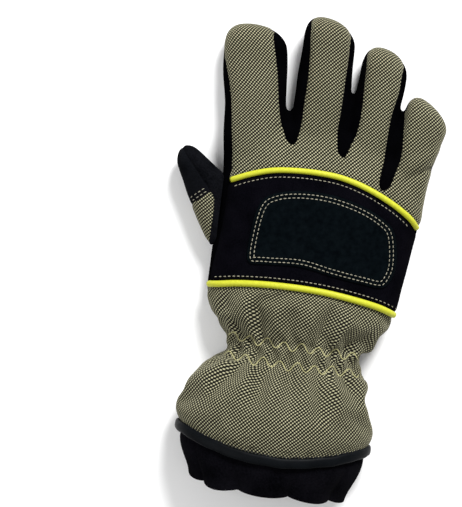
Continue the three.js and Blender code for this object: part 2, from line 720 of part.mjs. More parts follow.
const labelRegion = prism(roundedOutline(labelCorners), MIDDLE, TOP);
addPiece('label_patch', patchLayer.intersect(labelRegion), 'label');
const palmRegion = prism(roundedOutline(palmPatchCorners), -1, MIDDLE);
const heelRegion = prism(roundedOutline(heelPatchCorners), -1, MIDDLE);
addPiece('upper_palm_patch', patchLayer.intersect(palmRegion), 'grip');
addPiece('heel_patch', patchLayer.intersect(heelRegion), 'grip');
for (const [name, digit] of Object.entries(digits)) {
  const region = tipPatch(digit.frame, fingerRows, digit.width);
  addPiece(`${name}_fingertip_patch`, patchLayer.intersect(region), 'grip');
}

addPiece('thumb_back', thumbAbove(1, -FAR, THUMB_COVER), 'weave');
addPiece('thumb_tip_cover', thumbAbove(1, THUMB_COVER + GAP, FAR), 'suede');
addPiece('thumb_gusset', thumbAbove(-1, -FAR, FAR), 'knit');
addPiece('thumb_palm', thumbShell.intersect(thumbPalmCutter(0)), 'grip');

addPiece('cuff_binding', cuffBinding(), 'binding');
addPiece('wristlet', wristlet(), 'fleece');
addPiece('upper_piping', piping('upper'), 'piping');
addPiece('lower_piping', piping('lower'), 'piping');

// The origin goes to the centre of the underside
const box = new THREE.Box3().setFromObject(glove);
const middle = box.getCenter(new THREE.Vector3());
glove.position.set(-middle.x, -middle.y, -box.min.z);

export default glove;
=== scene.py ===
import math

import bmesh
import bpy
import numpy as np
from mathutils import Matrix, Vector
from mathutils.bvhtree import BVHTree


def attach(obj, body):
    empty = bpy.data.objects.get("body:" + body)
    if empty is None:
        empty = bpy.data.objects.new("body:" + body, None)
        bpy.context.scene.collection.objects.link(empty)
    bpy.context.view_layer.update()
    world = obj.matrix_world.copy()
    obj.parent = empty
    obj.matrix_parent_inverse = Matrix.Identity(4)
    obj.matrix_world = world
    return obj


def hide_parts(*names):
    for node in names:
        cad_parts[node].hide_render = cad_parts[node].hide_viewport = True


# Firefighter's glove for the right hand, lying palm down.
# The pieces are shaped in millimetres: y = 0 is the narrow of the wrist, z = 0 the surface it lies on,
# +Y runs to the fingertips and the thumb lies at -X. Each finished piece is moved to the frame in metres.

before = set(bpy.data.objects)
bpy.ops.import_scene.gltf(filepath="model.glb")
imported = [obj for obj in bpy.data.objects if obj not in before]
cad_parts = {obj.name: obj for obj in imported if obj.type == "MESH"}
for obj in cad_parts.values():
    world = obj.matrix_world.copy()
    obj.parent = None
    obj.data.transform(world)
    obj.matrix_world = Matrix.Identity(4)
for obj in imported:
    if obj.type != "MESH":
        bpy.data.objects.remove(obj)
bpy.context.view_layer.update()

# The row's origin, seen from the narrow of the wrist, in millimetres
ROW_X = 7.738
ROW_Y = -60.031
TO_ROW = Matrix.Scale(0.001, 4) @ Matrix.Translation((ROW_X, ROW_Y, 0.0))

# Layers, in millimetres
REST = 1.5
FINGER_HEIGHT = 23.5
MIDDLE = REST + 0.45 * (FINGER_HEIGHT - REST)
WALL = 1.7
PATCH = 1.2
HEM_DIP = 13.0
HEM_Y = -48.0
PALM_HEM = 29.0
PIPING = 4.0
UPPER_PIPING = 3.5
PALM_BORDER = 3.6
VOXEL = 1.25


# Tables, with named columns

def table(names, *rows):
    """Columns of a table by name."""
    columns = np.array(rows, dtype=float).T
    return dict(zip(names.split(), columns))


# Palm and gauntlet: silhouette on both sides and the height of the back, from the hem to the crotches
hand = table(
    "y left right top",
    (-80.0, -63.6, 54.6, 52.0),
    (-55.2, -63.6, 54.6, 52.0),
    (-48.0, -64.9, 54.6, 52.0),
    (-40.3, -65.5, 53.9, 51.5),
    (-31.7, -63.0, 51.6, 49.4),
    (-21.1, -57.1, 48.7, 44.7),
    (-10.6, -49.2, 46.1, 38.5),
    (-4.8, -43.4, 42.7, 34.8),
    (0.0, -40.2, 41.4, 34.0),
    (6.0, -41.6, 42.6, 34.4),
    (12.5, -46.7, 47.0, 35.3),
    (22.5, -53.3, 53.8, 36.8),
    (33.8, -57.8, 58.3, 37.5),
    (50.0, -58.6, 61.1, 37.1),
    (66.3, -57.5, 62.9, 36.8),
    (82.5, -57.8, 65.0, 37.5),
    (97.5, -58.3, 66.5, 36.4),
    (110.0, -57.3, 64.4, 33.0),
    (122.5, -53.1, 57.5, 28.1),
    (133.8, -45.0, 43.8, 23.3),
    (141.3, -32.5, 28.8, 18.8),
)

# Digits: where the root lies, how far the tip reaches from it, the lean to the right in degrees,
# how much wider it grows to the left and to the right, and how far its tip slants down to the right
digits = {
    "index": dict(root=(-38.0, 95.0), reach=103.2, width=38.2, lean=-6.1, swell=(1.7, -0.6), slant=3.0),
    "middle": dict(root=(-2.5, 95.0), reach=112.0, width=34.6, lean=-1.6, swell=(-2.2, -0.2), slant=4.0),
    "ring": dict(root=(27.25, 95.0), reach=99.0, width=29.4, lean=1.8, swell=(-2.0, 1.4), slant=3.0),
    "little": dict(root=(51.25, 87.5), reach=78.4, width=28.0, lean=6.0, swell=(-2.3, 2.3), slant=5.0),
}
thumb = dict(root=(-43.0, 70.0), reach=62.6, width=45.0, lean=-41.0, swell=(0.0, 0.0), slant=0.0)
THUMB_HEIGHT = 22.5
TIP_ROUND = 16.0
THUMB_ROUND = 10.0

# Seams up the fingers on the back, read off the woven panel's edge, from each crotch to past the tips
seam_lines = {
    "index_right": ((-18.5, 126.6), (-23.2, 131.0), (-28.5, 146.9), (-32.4, 166.8), (-35.9, 180.7),
                    (-38.4, 191.0), (-37.6, 198.0), (-36.0, 215.0)),
    "middle_left": ((-18.5, 126.6), (-16.2, 129.0), (-14.9, 138.3), (-14.9, 152.8), (-14.7, 169.3),
                    (-15.7, 183.6), (-17.0, 195.0), (-18.0, 215.0)),
    "middle_right": ((14.4, 122.9), (9.9, 126.4), (8.4, 136.5), (8.8, 152.2), (9.0, 172.6),
                     (9.1, 183.0), (8.9, 194.0), (10.0, 215.0)),
    "ring_left": ((14.4, 122.9), (17.0, 130.5), (19.6, 141.2), (20.4, 153.8), (19.8, 169.0),
                  (19.4, 179.2), (18.6, 190.0), (17.0, 215.0)),
    "ring_right": ((39.5, 106.0), (37.3, 110.2), (37.5, 116.9), (38.9, 128.4), (39.2, 140.8),
                   (39.9, 153.1), (42.4, 167.1), (42.8, 177.4), (44.5, 195.0)),
    "little_left": ((39.5, 106.0), (43.4, 109.0), (45.2, 112.9), (47.1, 121.4), (48.2, 131.8),
                    (47.1, 147.1), (46.6, 160.0), (45.8, 195.0)),
    "index_left": ((-56.6, 29.0), (-57.2, 45.0), (-55.2, 62.0), (-54.2, 80.0), (-54.0, 101.0),
                   (-53.4, 107.3), (-54.3, 117.4), (-56.8, 132.5), (-60.3, 152.6), (-64.6, 167.0),
                   (-68.5, 176.0), (-76.0, 186.0)),
}

# Crotches: the digits on both sides, where the palm's seam turns, and the web that fills the fork,
# given by its middle, its half width and half length, and its lean
crotches = {
    "index_middle": dict(left="index", right="middle", palm=(-18.5, 128.8),
                         fork=(-21.5, 126.0), size=(7.0, 22.0), lean=-3.8),
    "middle_ring": dict(left="middle", right="ring", palm=(14.0, 126.2),
                        fork=(13.6, 136.0), size=(6.0, 25.0), lean=0.0),
    "ring_little": dict(left="ring", right="little", palm=(39.6, 116.5),
                        fork=(43.0, 131.0), size=(6.0, 22.5), lean=4.0),
}

# Pipings across the back
pipings = table(
    "x upper lower",
    (-78.0, 87.5, 33.7),
    (-54.0, 99.6, 36.3),
    (-41.3, 105.3, 38.5),
    (-29.4, 109.1, 39.8),
    (-17.3, 110.9, 40.6),
    (-0.9, 111.6, 40.9),
    (14.6, 110.5, 40.3),
    (30.7, 106.2, 38.6),
    (47.1, 99.2, 35.8),
    (58.4, 92.4, 32.0),
    (64.0, 87.6, 29.0),
    (78.0, 75.0, 25.0),
)

# Elastic across the back of the wrist: places of its two rows at the left, in the middle and at the right
UPPER_ELASTIC = (6.5, 5.2, 4.4)
LOWER_ELASTIC = (-5.4, -6.8, -5.4)

# Outlines of the patches
label_outline = ((-35.3, 53.0), (-36.0, 70.0), (-32.8, 88.5), (-24.3, 95.8), (-9.4, 99.2), (9.1, 99.3),
                 (28.2, 95.4), (43.0, 88.9), (50.4, 81.6), (53.8, 66.0), (53.0, 55.8), (47.6, 48.0),
                 (34.2, 48.5), (15.4, 50.7), (-3.5, 53.6), (-24.8, 52.2))
upper_patch_outline = ((56.5, 89.4), (60.6, 116.0), (53.8, 122.0), (41.3, 107.8), (32.8, 131.9),
                       (23.8, 133.1), (14.1, 117.5), (5.6, 138.8), (-9.4, 139.4), (-18.5, 120.0),
                       (-28.1, 133.8), (-43.8, 132.5), (-38.8, 111.3), (-33.8, 94.8), (0.0, 96.0),
                       (30.0, 94.0))
heel_patch_outline = ((24.4, 34.4), (46.9, 34.4), (56.3, 70.0), (54.4, 78.8), (28.8, 86.3), (23.8, 70.0))


def curve(xs, ys, at):
    """Smooth curve through the points of two columns."""
    at = np.clip(np.asarray(at, dtype=float), xs[0], xs[-1])
    i = np.clip(np.searchsorted(xs, at) - 1, 0, len(xs) - 2)
    before = np.maximum(i - 1, 0)
    after = np.minimum(i + 2, len(xs) - 1)
    span = xs[i + 1] - xs[i]
    t = (at - xs[i]) / span
    slope = (ys[i + 1] - ys[before]) / (xs[i + 1] - xs[before]) * span
    next_slope = (ys[after] - ys[i]) / (xs[after] - xs[i]) * span
    return ((2 * t**3 - 3 * t**2 + 1) * ys[i] + (t**3 - 2 * t**2 + t) * slope
            + (3 * t**2 - 2 * t**3) * ys[i + 1] + (t**3 - t**2) * next_slope)


def smooth_step(low, high, value):
    t = np.clip((value - low) / (high - low), 0, 1)
    return t * t * (3 - 2 * t)


def smooth_line(points, closed=False, per_span=6):
    """Rounded line through a few points."""
    p = np.array(points, dtype=float)
    if closed:
        p = np.vstack([p[-2:], p, p[:3]])
    else:
        p = np.vstack([2 * p[0] - p[1], p, 2 * p[-1] - p[-2]])
    out = []
    for a, b, c, d in zip(p[:-3], p[1:-2], p[2:-1], p[3:]):
        for t in np.arange(per_span) / per_span:
            out.append(0.5 * (2 * b + (c - a) * t + (2 * a - 5 * b + 4 * c - d) * t**2
                              + (3 * b - a - 3 * c + d) * t**3))
    if closed:
        return np.array(out[per_span:-per_span])
    return np.array(out + [p[-2]])


# Distances on the glove's plan; each field is positive inside its region and zero at its seam

def edge_distance(x, y, line, closed):
    best = np.full(x.shape, 1e9)
    ends = np.roll(line, -1, axis=0) if closed else line[1:]
    for (ax, ay), (bx, by) in zip(line, ends):
        dx, dy = bx - ax, by - ay
        length = dx * dx + dy * dy
        if length == 0:
            continue
        t = np.clip(((x - ax) * dx + (y - ay) * dy) / length, 0, 1)
        best = np.minimum(best, (x - ax - t * dx) ** 2 + (y - ay - t * dy) ** 2)
    return np.sqrt(best)


def region(x, y, outline):
    """Distance in from a closed outline, negative outside it."""
    inside = np.zeros(x.shape, dtype=bool)
    for (ax, ay), (bx, by) in zip(outline, np.roll(outline, -1, axis=0)):
        if ay == by:
            continue
        crosses = (ay > y) != (by > y)
        inside ^= crosses & (x < (bx - ax) * (y - ay) / (by - ay) + ax)
    distance = edge_distance(x, y, outline, True)
    return np.where(inside, distance, -distance)


def piping_distance(x, y, which):
    """Distance towards the fingers from a piping's line."""
    here = curve(pipings["x"], pipings[which], x)
    slope = curve(pipings["x"], pipings[which], x + 0.5) - curve(pipings["x"], pipings[which], x - 0.5)
    return (y - here) / np.sqrt(1 + slope**2)


# Forms of the hand and of the digits

def rise_of(across, sine, up_power, down_power):
    power = np.where(sine < 0, down_power, up_power)
    return np.sign(sine) * np.maximum(1 - np.abs(across) ** power, 0) ** (1 / power)


def hand_place(angle, y, spread=1.0, offset=0.0):
    """Point of the palm and gauntlet's skin at an angle round it, in its section at y."""
    left = curve(hand["y"], hand["left"], y) - offset
    right = curve(hand["y"], hand["right"], y) + offset
    top = curve(hand["y"], hand["top"], y)
    level = REST + 0.3 * (top - REST)
    low = REST - 0.8
    across = np.cos(angle) * spread
    sine = np.sin(angle)
    rise = rise_of(np.cos(angle), sine, 2.2, 3.4) * spread
    reach = np.where(sine < 0, level - low, top - level) + offset
    depth = np.maximum(-y, 0) / -HEM_Y
    dip = HEM_DIP * depth**2 * (1 - across**2)
    x = (left + right) / 2 - across * (right - left) / 2
    return np.stack([x, y - dip, level + rise * reach], axis=-1)


def hem_at(x):
    left = curve(hand["y"], hand["left"], HEM_Y)
    right = curve(hand["y"], hand["right"], HEM_Y)
    share = (2 * x - left - right) / (right - left)
    return HEM_Y - HEM_DIP * (1 - share**2)


def digit_axes(digit):
    lean = math.radians(digit["lean"])
    ahead = np.array([math.sin(lean), math.cos(lean)])
    return np.array(digit["root"]), ahead, np.array([-ahead[1], ahead[0]])


def digit_half(digit, run, side):
    """Width of a finger from its middle line to one side, 1 left or -1 right, at a distance from its root."""
    share = run / digit["reach"]
    swell = np.where(side > 0, *digit["swell"]) * smooth_step(0.5, 0.82, share)
    t = np.clip((run - digit["reach"] + TIP_ROUND) / TIP_ROUND, 0, 1)
    return (digit["width"] / 2 + swell) * np.maximum(1 - t**2.5, 0) ** (1 / 2.2)


# Thumb seen on its edge: width to each side, as shares of half its width, along its reach
thumb_sides = table(
    "share left right",
    (-0.5, 0.95, 1.00),
    (0.00, 0.88, 1.00),
    (0.35, 0.77, 0.72),
    (0.57, 0.64, 0.52),
    (0.75, 0.50, 0.38),
    (0.88, 0.41, 0.30),
    (1.00, 0.33, 0.26),
)


def thumb_half(digit, run, side):
    """Width of the thumb from its middle line to one side, which narrows all the way."""
    share = np.clip(run / digit["reach"], -0.5, 1)
    left = curve(thumb_sides["share"], thumb_sides["left"], share)
    right = curve(thumb_sides["share"], thumb_sides["right"], share)
    end = np.clip((run - digit["reach"] + THUMB_ROUND) / THUMB_ROUND, 0, 1)
    return digit["width"] / 2 * np.where(side > 0, left, right) * np.maximum(1 - end**2.4, 0) ** (1 / 2.1)


def digit_place(digit, angle, share, spread, half_of, height):
    root, ahead, left = digit_axes(digit)
    run = digit["reach"] * np.sin(share * math.pi / 2) ** 0.9
    half = half_of(digit, run, np.cos(angle))
    end = np.clip((run - digit["reach"] + TIP_ROUND) / TIP_ROUND, 0, 1)
    tall = np.maximum(1 - end**2.3, 0) ** 0.5
    sine = np.sin(angle)
    rise = rise_of(np.cos(angle), sine, 2.4, 3.0)
    reach = np.where(sine < 0, MIDDLE - REST + 0.8, height - MIDDLE) * tall
    aside = np.cos(angle) * half * spread
    slope = 2 * digit["slant"] / digit["width"] * smooth_step(digit["reach"] - 24, digit["reach"], run)
    slanted = run + slope * aside
    plan = root + slanted[..., None] * ahead + aside[..., None] * left
    return np.concatenate([plan, (MIDDLE + rise * reach * spread)[..., None]], axis=-1)


# Mesh helpers

def placed(name, data):
    """A new object in the scene."""
    made = bpy.data.objects.new(name, data)
    bpy.context.scene.collection.objects.link(made)
    return made


def mesh_of(name, bm):
    """A new mesh from a bmesh, which is freed."""
    mesh = bpy.data.meshes.new(name)
    bm.to_mesh(mesh)
    bm.free()
    return mesh


def taken_from(holder):
    """The mesh that an object gives after its modifiers; the object is removed."""
    graph = bpy.context.evaluated_depsgraph_get()
    mesh = bpy.data.meshes.new_from_object(holder.evaluated_get(graph))
    bpy.data.objects.remove(holder)
    return mesh


def set_all(thing, settings):
    for key, value in settings.items():
        setattr(thing, key, value)


def points_of(mesh):
    co = np.empty(len(mesh.vertices) * 3)
    mesh.vertices.foreach_get("co", co)
    return co.reshape(-1, 3)


def set_points(mesh, points):
    mesh.vertices.foreach_set("co", np.ascontiguousarray(points, dtype=float).ravel())
    mesh.update()


def normals_of(mesh):
    normal = np.empty(len(mesh.vertices) * 3)
    mesh.vertices.foreach_get("normal", normal)
    return normal.reshape(-1, 3)


def tube(place, around, lengthwise):
    """Closed tube with both poles shut: a sphere whose points are placed by angle and share of the length."""
    bm = bmesh.new()
    bmesh.ops.create_uvsphere(bm, u_segments=around, v_segments=lengthwise, radius=1.0)
    mesh = mesh_of("tube", bm)
    co = points_of(mesh)
    angle = np.arctan2(co[:, 1], co[:, 0])
    share = np.arcsin(np.clip(co[:, 2], -1, 1)) / math.pi + 0.5
    spread = np.where(np.hypot(co[:, 0], co[:, 1]) > 1e-4, 1.0, 0.0)
    set_points(mesh, place(angle, share, spread))
    return mesh


def joined(meshes):
    bm = bmesh.new()
    for mesh in meshes:
        bm.from_mesh(mesh)
    bmesh.ops.recalc_face_normals(bm, faces=bm.faces[:])
    return mesh_of("joined", bm)


def one_skin(meshes, smoothing):
    """Closed forms fused into one even skin."""
    holder = placed("skin", joined(meshes))
    fuse = holder.modifiers.new("fuse", "REMESH")
    set_all(fuse, dict(mode="VOXEL", voxel_size=VOXEL, use_smooth_shade=True))
    set_all(holder.modifiers.new("soften", "SMOOTH"), dict(factor=0.5, iterations=smoothing))
    return taken_from(holder)


def lie_flat(points):
    """Keeps the skin above the surface of its patches, with a soft turn where it meets it."""
    soft = 0.45
    out = points.copy()
    depth = (points[:, 2] - REST) / soft
    out[:, 2] = REST + soft * np.where(depth > 20, depth, np.log1p(np.exp(np.minimum(depth, 20))))
    return out


# The skins
hand_tube = tube(lambda angle, share, spread: hand_place(angle, -78 + 219 * share, spread), 128, 110)
finger_tubes = [
    tube(lambda angle, share, spread, digit=digit: digit_place(
        digit, angle, share, spread, digit_half, FINGER_HEIGHT), 48, 70)
    for digit in digits.values()
]
thumb_tube = tube(lambda angle, share, spread: digit_place(
    thumb, angle, share, spread, thumb_half, THUMB_HEIGHT), 48, 60)


def web(crotch):
    """Cloth that fills the fork between two fingers."""
    bm = bmesh.new()
    x, y = crotch["fork"]
    place = Matrix.Translation((x, y, MIDDLE - 1.5)) @ Matrix.Rotation(math.radians(-crotch["lean"]), 4, "Z")
    bmesh.ops.create_uvsphere(bm, u_segments=32, v_segments=24, radius=1.0,
                              matrix=place @ Matrix.Diagonal((*crotch["size"], 8.5, 1.0)))
    return mesh_of("web", bm)


skin = one_skin([hand_tube, *finger_tubes, *[web(crotch) for crotch in crotches.values()]], 8)
thumb_skin = one_skin([thumb_tube], 5)


# Folds of the cloth, in millimetres along the skin's normal

def fold(points, start, end, width, height):
    """A soft ridge, or a valley where its height is below zero, along a straight line on the back's plan."""
    ax, ay = start
    dx, dy = end[0] - ax, end[1] - ay
    length = math.hypot(dx, dy)
    x, y = points[:, 0] - ax, points[:, 1] - ay
    run = (x * dx + y * dy) / length
    aside = (x * dy - y * dx) / length
    t = run / length
    fade = smooth_step(-0.25, 0.25, t) * (1 - smooth_step(0.55, 1.15, t))
    spread = width * (0.6 + 0.8 * np.clip(t, 0, 1))
    return height * fade * np.exp(-((aside / spread) ** 2))


# Folds on the back: from, to, half width, height
back_folds = (
    ((-33, 10), (-47, 30), 3.2, -1.1),
    ((-27, 10), (-36, 36), 3.4, 1.2),
    ((-20, 9), (-27, 34), 3.0, -1.3),
    ((-12, 9), (-14, 33), 3.0, 1.0),
    ((-4, 8), (-4, 30), 2.8, -1.2),
    ((5, 8), (8, 30), 3.0, 1.1),
    ((13, 8), (19, 32), 3.0, -1.2),
    ((22, 7), (34, 30), 3.4, 1.2),
    ((30, 6), (48, 24), 3.0, -1.4),
    ((33, 3), (54, 15), 2.6, 1.2),
    ((-33, -8), (-62, -30), 3.6, 1.6),
    ((-31, -12), (-54, -40), 4.0, -1.5),
    ((-22, -9), (-32, -34), 3.6, 1.3),
    ((-15, -9), (-20, -38), 3.6, -1.4),
    ((-7, -9), (-12, -36), 3.4, 1.2),
    ((1, -9), (0, -42), 3.8, -1.3),
    ((9, -9), (12, -36), 3.2, 1.2),
    ((16, -9), (20, -40), 3.6, -1.2),
    ((24, -8), (33, -34), 3.2, 1.3),
    ((31, -8), (44, -28), 3.4, -1.3),
    ((37, -6), (50, -18), 2.8, 1.1),
    ((-18.5, 126.0), (-20.0, 108.0), 2.6, -0.9),
    ((14.4, 122.0), (13.4, 106.0), 2.6, -0.9),
    ((39.5, 105.0), (37.0, 92.0), 2.4, -0.8),
    ((73.0, 127.0), (50.0, 113.0), 2.2, -1.3),
    ((71.0, 136.0), (52.0, 121.0), 3.0, 0.7),
)


def puckers(points):
    """Small puffs between the zigzag rows, where the elastic pulls the cloth together."""
    x, y, z = points.T
    half = (curve(hand["y"], hand["right"], y) - curve(hand["y"], hand["left"], y)) / 2
    centre = (curve(hand["y"], hand["right"], y) + curve(hand["y"], hand["left"], y)) / 2
    s = (x - centre) / half * 41
    near = np.exp(-((y / 11.0) ** 2))
    rows = np.cos(s * 2 * math.pi / 9.5 + 0.35 * y + 0.8 * np.sin(s / 7.0))
    across = np.cos(s * 2 * math.pi / 6.1 - 0.22 * y + 1.1 * np.sin(s / 5.0 + 1.0))
    bands = 0.55 * np.exp(-(((y - 6.0) / 2.2) ** 2)) + 0.55 * np.exp(-(((y + 6.0) / 2.2) ** 2))
    return near * (0.75 * rows + 0.4 * across) - bands


def waves(points):
    """Slow unevenness of a soft glove."""
    x, y, z = points.T
    return (0.35 * np.sin(x / 11.0 + 0.8 * np.sin(y / 17.0)) * np.cos(y / 13.0 + 0.5)
            + 0.22 * np.sin(x / 6.3 - y / 8.1 + z / 9.0) + 0.18 * np.cos(y / 5.2 + x / 9.7))


def palm_folds(points):
    """Pleats of the palm side, where the same elastic gathers it."""
    x, y, z = points.T
    fan = x / (1 + 0.25 * (np.abs(y) / 30) ** 1.5)
    near = np.exp(-((y / 17.0) ** 2))
    return near * 0.9 * np.cos(fan * 2 * math.pi / 11.0 + 0.6 * np.sin(fan / 9.0))


FOLD_DEPTH = 1.5


def folded(mesh):
    """The hand's skin with its folds."""
    points = points_of(mesh)
    normal = normals_of(mesh)
    upper = smooth_step(6.0, 16.0, points[:, 2])
    back = sum(fold(points, *row) for row in back_folds) + puckers(points)
    move = FOLD_DEPTH * (upper * back + (1 - upper) * palm_folds(points)) + waves(points)
    set_points(mesh, lie_flat(points + normal * move[:, None]))
    return mesh


folded(skin)
set_points(thumb_skin, lie_flat(points_of(thumb_skin) + 0.4 * normals_of(thumb_skin)
                                * waves(points_of(thumb_skin))[:, None]))


# Regions of the side pieces

def palm_border(digit, side):
    """Seam on the palm side of a finger, from its root to the middle of its tip and out past it."""
    root, ahead, left = digit_axes(digit)
    reach = digit["reach"] - PALM_BORDER
    points = []
    for share in (0.38, 0.5, 0.62, 0.74, 0.84, 0.9, 0.94, 0.97, 0.99):
        half = float(digit_half(digit, np.array(share * digit["reach"]), side))
        points.append(root + share * reach * ahead + side * max(half - PALM_BORDER, 0.5) * left)
    points.append(root + reach * ahead + side * 0.05 * left)
    points.append(root + (reach + 30) * ahead + side * 0.05 * left)
    return points


def upper_share(z):
    """1 on the back and 0 on the palm, turning at the level of the side seams."""
    return smooth_step(MIDDLE - 2.0, MIDDLE + 2.0, z)


def side_field(points, back_outline, palm_outline):
    x, y, z = points.T
    upper = upper_share(z)
    back = region(x, y, back_outline) if back_outline is not None else -MIDDLE + 0 * z
    return upper * back + (1 - upper) * region(x, y, palm_outline)


def crotch_fields(points):
    fields = {}
    for name, crotch in crotches.items():
        left, right = crotch["left"], crotch["right"]
        back = np.vstack([smooth_line(seam_lines[right + "_left"]),
                          smooth_line(seam_lines[left + "_right"])[::-1]])
        palm = np.vstack([[crotch["palm"]], palm_border(digits[right], 1),
                          palm_border(digits[left], -1)[::-1]])
        fields[name] = side_field(points, back, palm)
    return fields


FAR = 120.0


def edge_line(side, inset, low, high):
    ys = np.linspace(low, high, 8)
    column = "left" if side > 0 else "right"
    return [(float(curve(hand["y"], hand[column], y)) + side * inset, y) for y in ys]


def strip_field(points, side):
    digit = digits["index"] if side > 0 else digits["little"]
    border = [p for p in palm_border(digit, side) if p[1] > 108]
    palm = np.vstack([[(-side * FAR, PALM_HEM)], edge_line(side, PALM_BORDER, PALM_HEM, 100.0),
                      border, [(-side * FAR, border[-1][1])]])
    back = None
    if side > 0:
        back = np.vstack([[(-FAR, PALM_HEM)], smooth_line(seam_lines["index_left"]), [(-FAR, 190.0)]])
    field = side_field(points, back, palm)
    return np.minimum(field, points[:, 1] - PALM_HEM)


def seam_fields(points):
    """Distance of each point inside every panel of the hand."""
    x, y, z = points.T
    upper = upper_share(z)
    fields = {name + "_gusset": field for name, field in crotch_fields(points).items()}
    index_side = strip_field(points, 1)
    fields["little_side_strip"] = strip_field(points, -1)
    sides = np.max(np.stack([*fields.values(), index_side]), axis=0)
    fields["index_side_strip"] = np.minimum(index_side, np.where(upper > 0.5, y - 38.0, y - PALM_HEM))
    over_upper = piping_distance(x, y, "upper")
    over_lower = piping_distance(x, y, "lower")
    upper_trim = UPPER_PIPING / 2 - 0.7
    trim = PIPING / 2 - 0.6
    fields["back_panel"] = np.minimum.reduce([over_upper - upper_trim, -sides, z - MIDDLE + 2.0])
    fields["knuckle_band"] = np.minimum.reduce([over_lower - trim, -over_upper - upper_trim, -sides,
                                                z - MIDDLE + 2.0])
    fields["palm_panel"] = np.minimum.reduce([y - PALM_HEM, MIDDLE + 2.0 - z, -sides])
    inner = np.vstack([edge_line(1, 5.0, -80, PALM_HEM + 6), edge_line(-1, 5.0, -80, PALM_HEM + 6)[::-1]])
    palm_side = np.minimum(region(x, y, inner), MIDDLE - z)
    above_hem = y - hem_at(x)
    fields["gauntlet_palm"] = np.minimum.reduce([palm_side, PALM_HEM - y, above_hem])
    below = upper * (-over_lower - trim) + (1 - upper) * (PALM_HEM - y)
    fields["gauntlet_back"] = np.minimum.reduce([-palm_side, below, above_hem])
    return fields


# Materials

class Look:
    """A material's node tree, with short ways to add and join nodes."""

    def __init__(self, name, color, roughness):
        self.material = bpy.data.materials.new(name)
        self.material.use_nodes = True
        self.tree = self.material.node_tree
        self.shader = self.tree.nodes["Principled BSDF"]
        self.set(Base_Color=(*color, 1.0), Roughness=roughness, IOR=1.45)
        self.set(Specular_IOR_Level=0.35)

    def set(self, **values):
        for name, value in values.items():
            self.shader.inputs[name.replace("_", " ")].default_value = value

    def node(self, kind, inputs=(), **settings):
        made = self.tree.nodes.new("ShaderNode" + kind)
        for key, value in settings.items():
            setattr(made, key, value)
        for key, value in dict(inputs).items():
            if isinstance(value, bpy.types.NodeSocket):
                self.tree.links.new(value, made.inputs[key])
            else:
                made.inputs[key].default_value = value
        return made

    def join(self, socket, name):
        self.tree.links.new(socket, self.shader.inputs[name.replace("_", " ")])

    def math(self, operation, a, b=0.0, c=0.0):
        return self.node("Math", {0: a, 1: b, 2: c}, operation=operation).outputs[0]

    def object_place(self):
        return self.node("TexCoord").outputs["Object"]

    def cloth_place(self):
        return self.node("UVMap", uv_map="cloth").outputs[0]

    def noise(self, place, scale, detail=3.0, roughness=0.55):
        return self.node("TexNoise", {"Vector": place, "Scale": scale, "Detail": detail,
                                      "Roughness": roughness}).outputs["Fac"]

    def ramp(self, value, *stops):
        ramp = self.node("ValToRGB", {"Fac": value})
        elements = ramp.color_ramp.elements
        while len(elements) < len(stops):
            elements.new(0.5)
        for element, (at, color) in zip(elements, stops):
            element.position = at
            element.color = (*color, 1.0)
        return ramp.outputs["Color"]

    def mottle(self, place, scale, dark, light, top=0.7):
        """Base colour between two tones, by a noise."""
        self.join(self.ramp(self.noise(place, scale), (0.3, dark), (top, light)), "Base Color")

    def bump(self, height, strength, distance):
        made = self.node("Bump", {"Height": height, "Strength": strength, "Distance": distance})
        return made.outputs["Normal"]


WEAVE_REPEAT = 1.65


def weave_look():
    """Basket weave of pale and black yarns, pale dots standing out of a black ground in slanting rows."""
    look = Look("weave", (0.12, 0.115, 0.075), 0.9)
    place = look.cloth_place()
    drift = look.node("TexNoise", {"Vector": place, "Scale": 90.0, "Detail": 1.0})
    bent = look.node("VectorMath", {0: drift.outputs["Color"], 1: (0.0007, 0.0007, 0.0)},
                     operation="MULTIPLY").outputs[0]
    moved = look.node("VectorMath", {0: place, 1: bent}, operation="ADD").outputs[0]
    parts = look.node("SeparateXYZ", {0: moved})
    turns_in_metre = 2 * math.pi / (WEAVE_REPEAT * 0.001)
    wave_u = look.math("SINE", look.math("MULTIPLY", parts.outputs[0], turns_in_metre))
    wave_v = look.math("SINE", look.math("MULTIPLY", parts.outputs[1], turns_in_metre))
    dots = look.math("MULTIPLY_ADD", wave_u, 0.56, look.math("MULTIPLY", wave_v, 0.44))
    uneven = look.noise(place, 900.0, 2.0)
    patchy = look.noise(look.object_place(), 28.0, 2.0)
    shifted = look.math("ADD", dots, look.math("MULTIPLY_ADD", uneven, 0.7, -0.35))
    yarn = look.ramp(look.math("MULTIPLY_ADD", shifted, 0.5, 0.5),
                     (0.36, (0.002, 0.002, 0.002)), (0.54, (0.030, 0.029, 0.018)),
                     (0.70, (0.175, 0.168, 0.104)), (0.90, (0.425, 0.405, 0.262)))
    shade = look.ramp(patchy, (0.3, (0.84, 0.84, 0.82)), (0.7, (1.0, 1.0, 1.0)))
    mixed = look.node("Mix", {6: yarn, 7: shade, 0: 1.0}, data_type="RGBA", blend_type="MULTIPLY")
    look.join(mixed.outputs[2], "Base Color")
    look.join(look.bump(dots, 0.6, 0.0003), "Normal")
    look.set(Specular_IOR_Level=0.1, Sheen_Weight=0.15, Sheen_Roughness=0.4)
    look.set(Sheen_Tint=(0.9, 0.86, 0.62, 1.0))
    return look.material


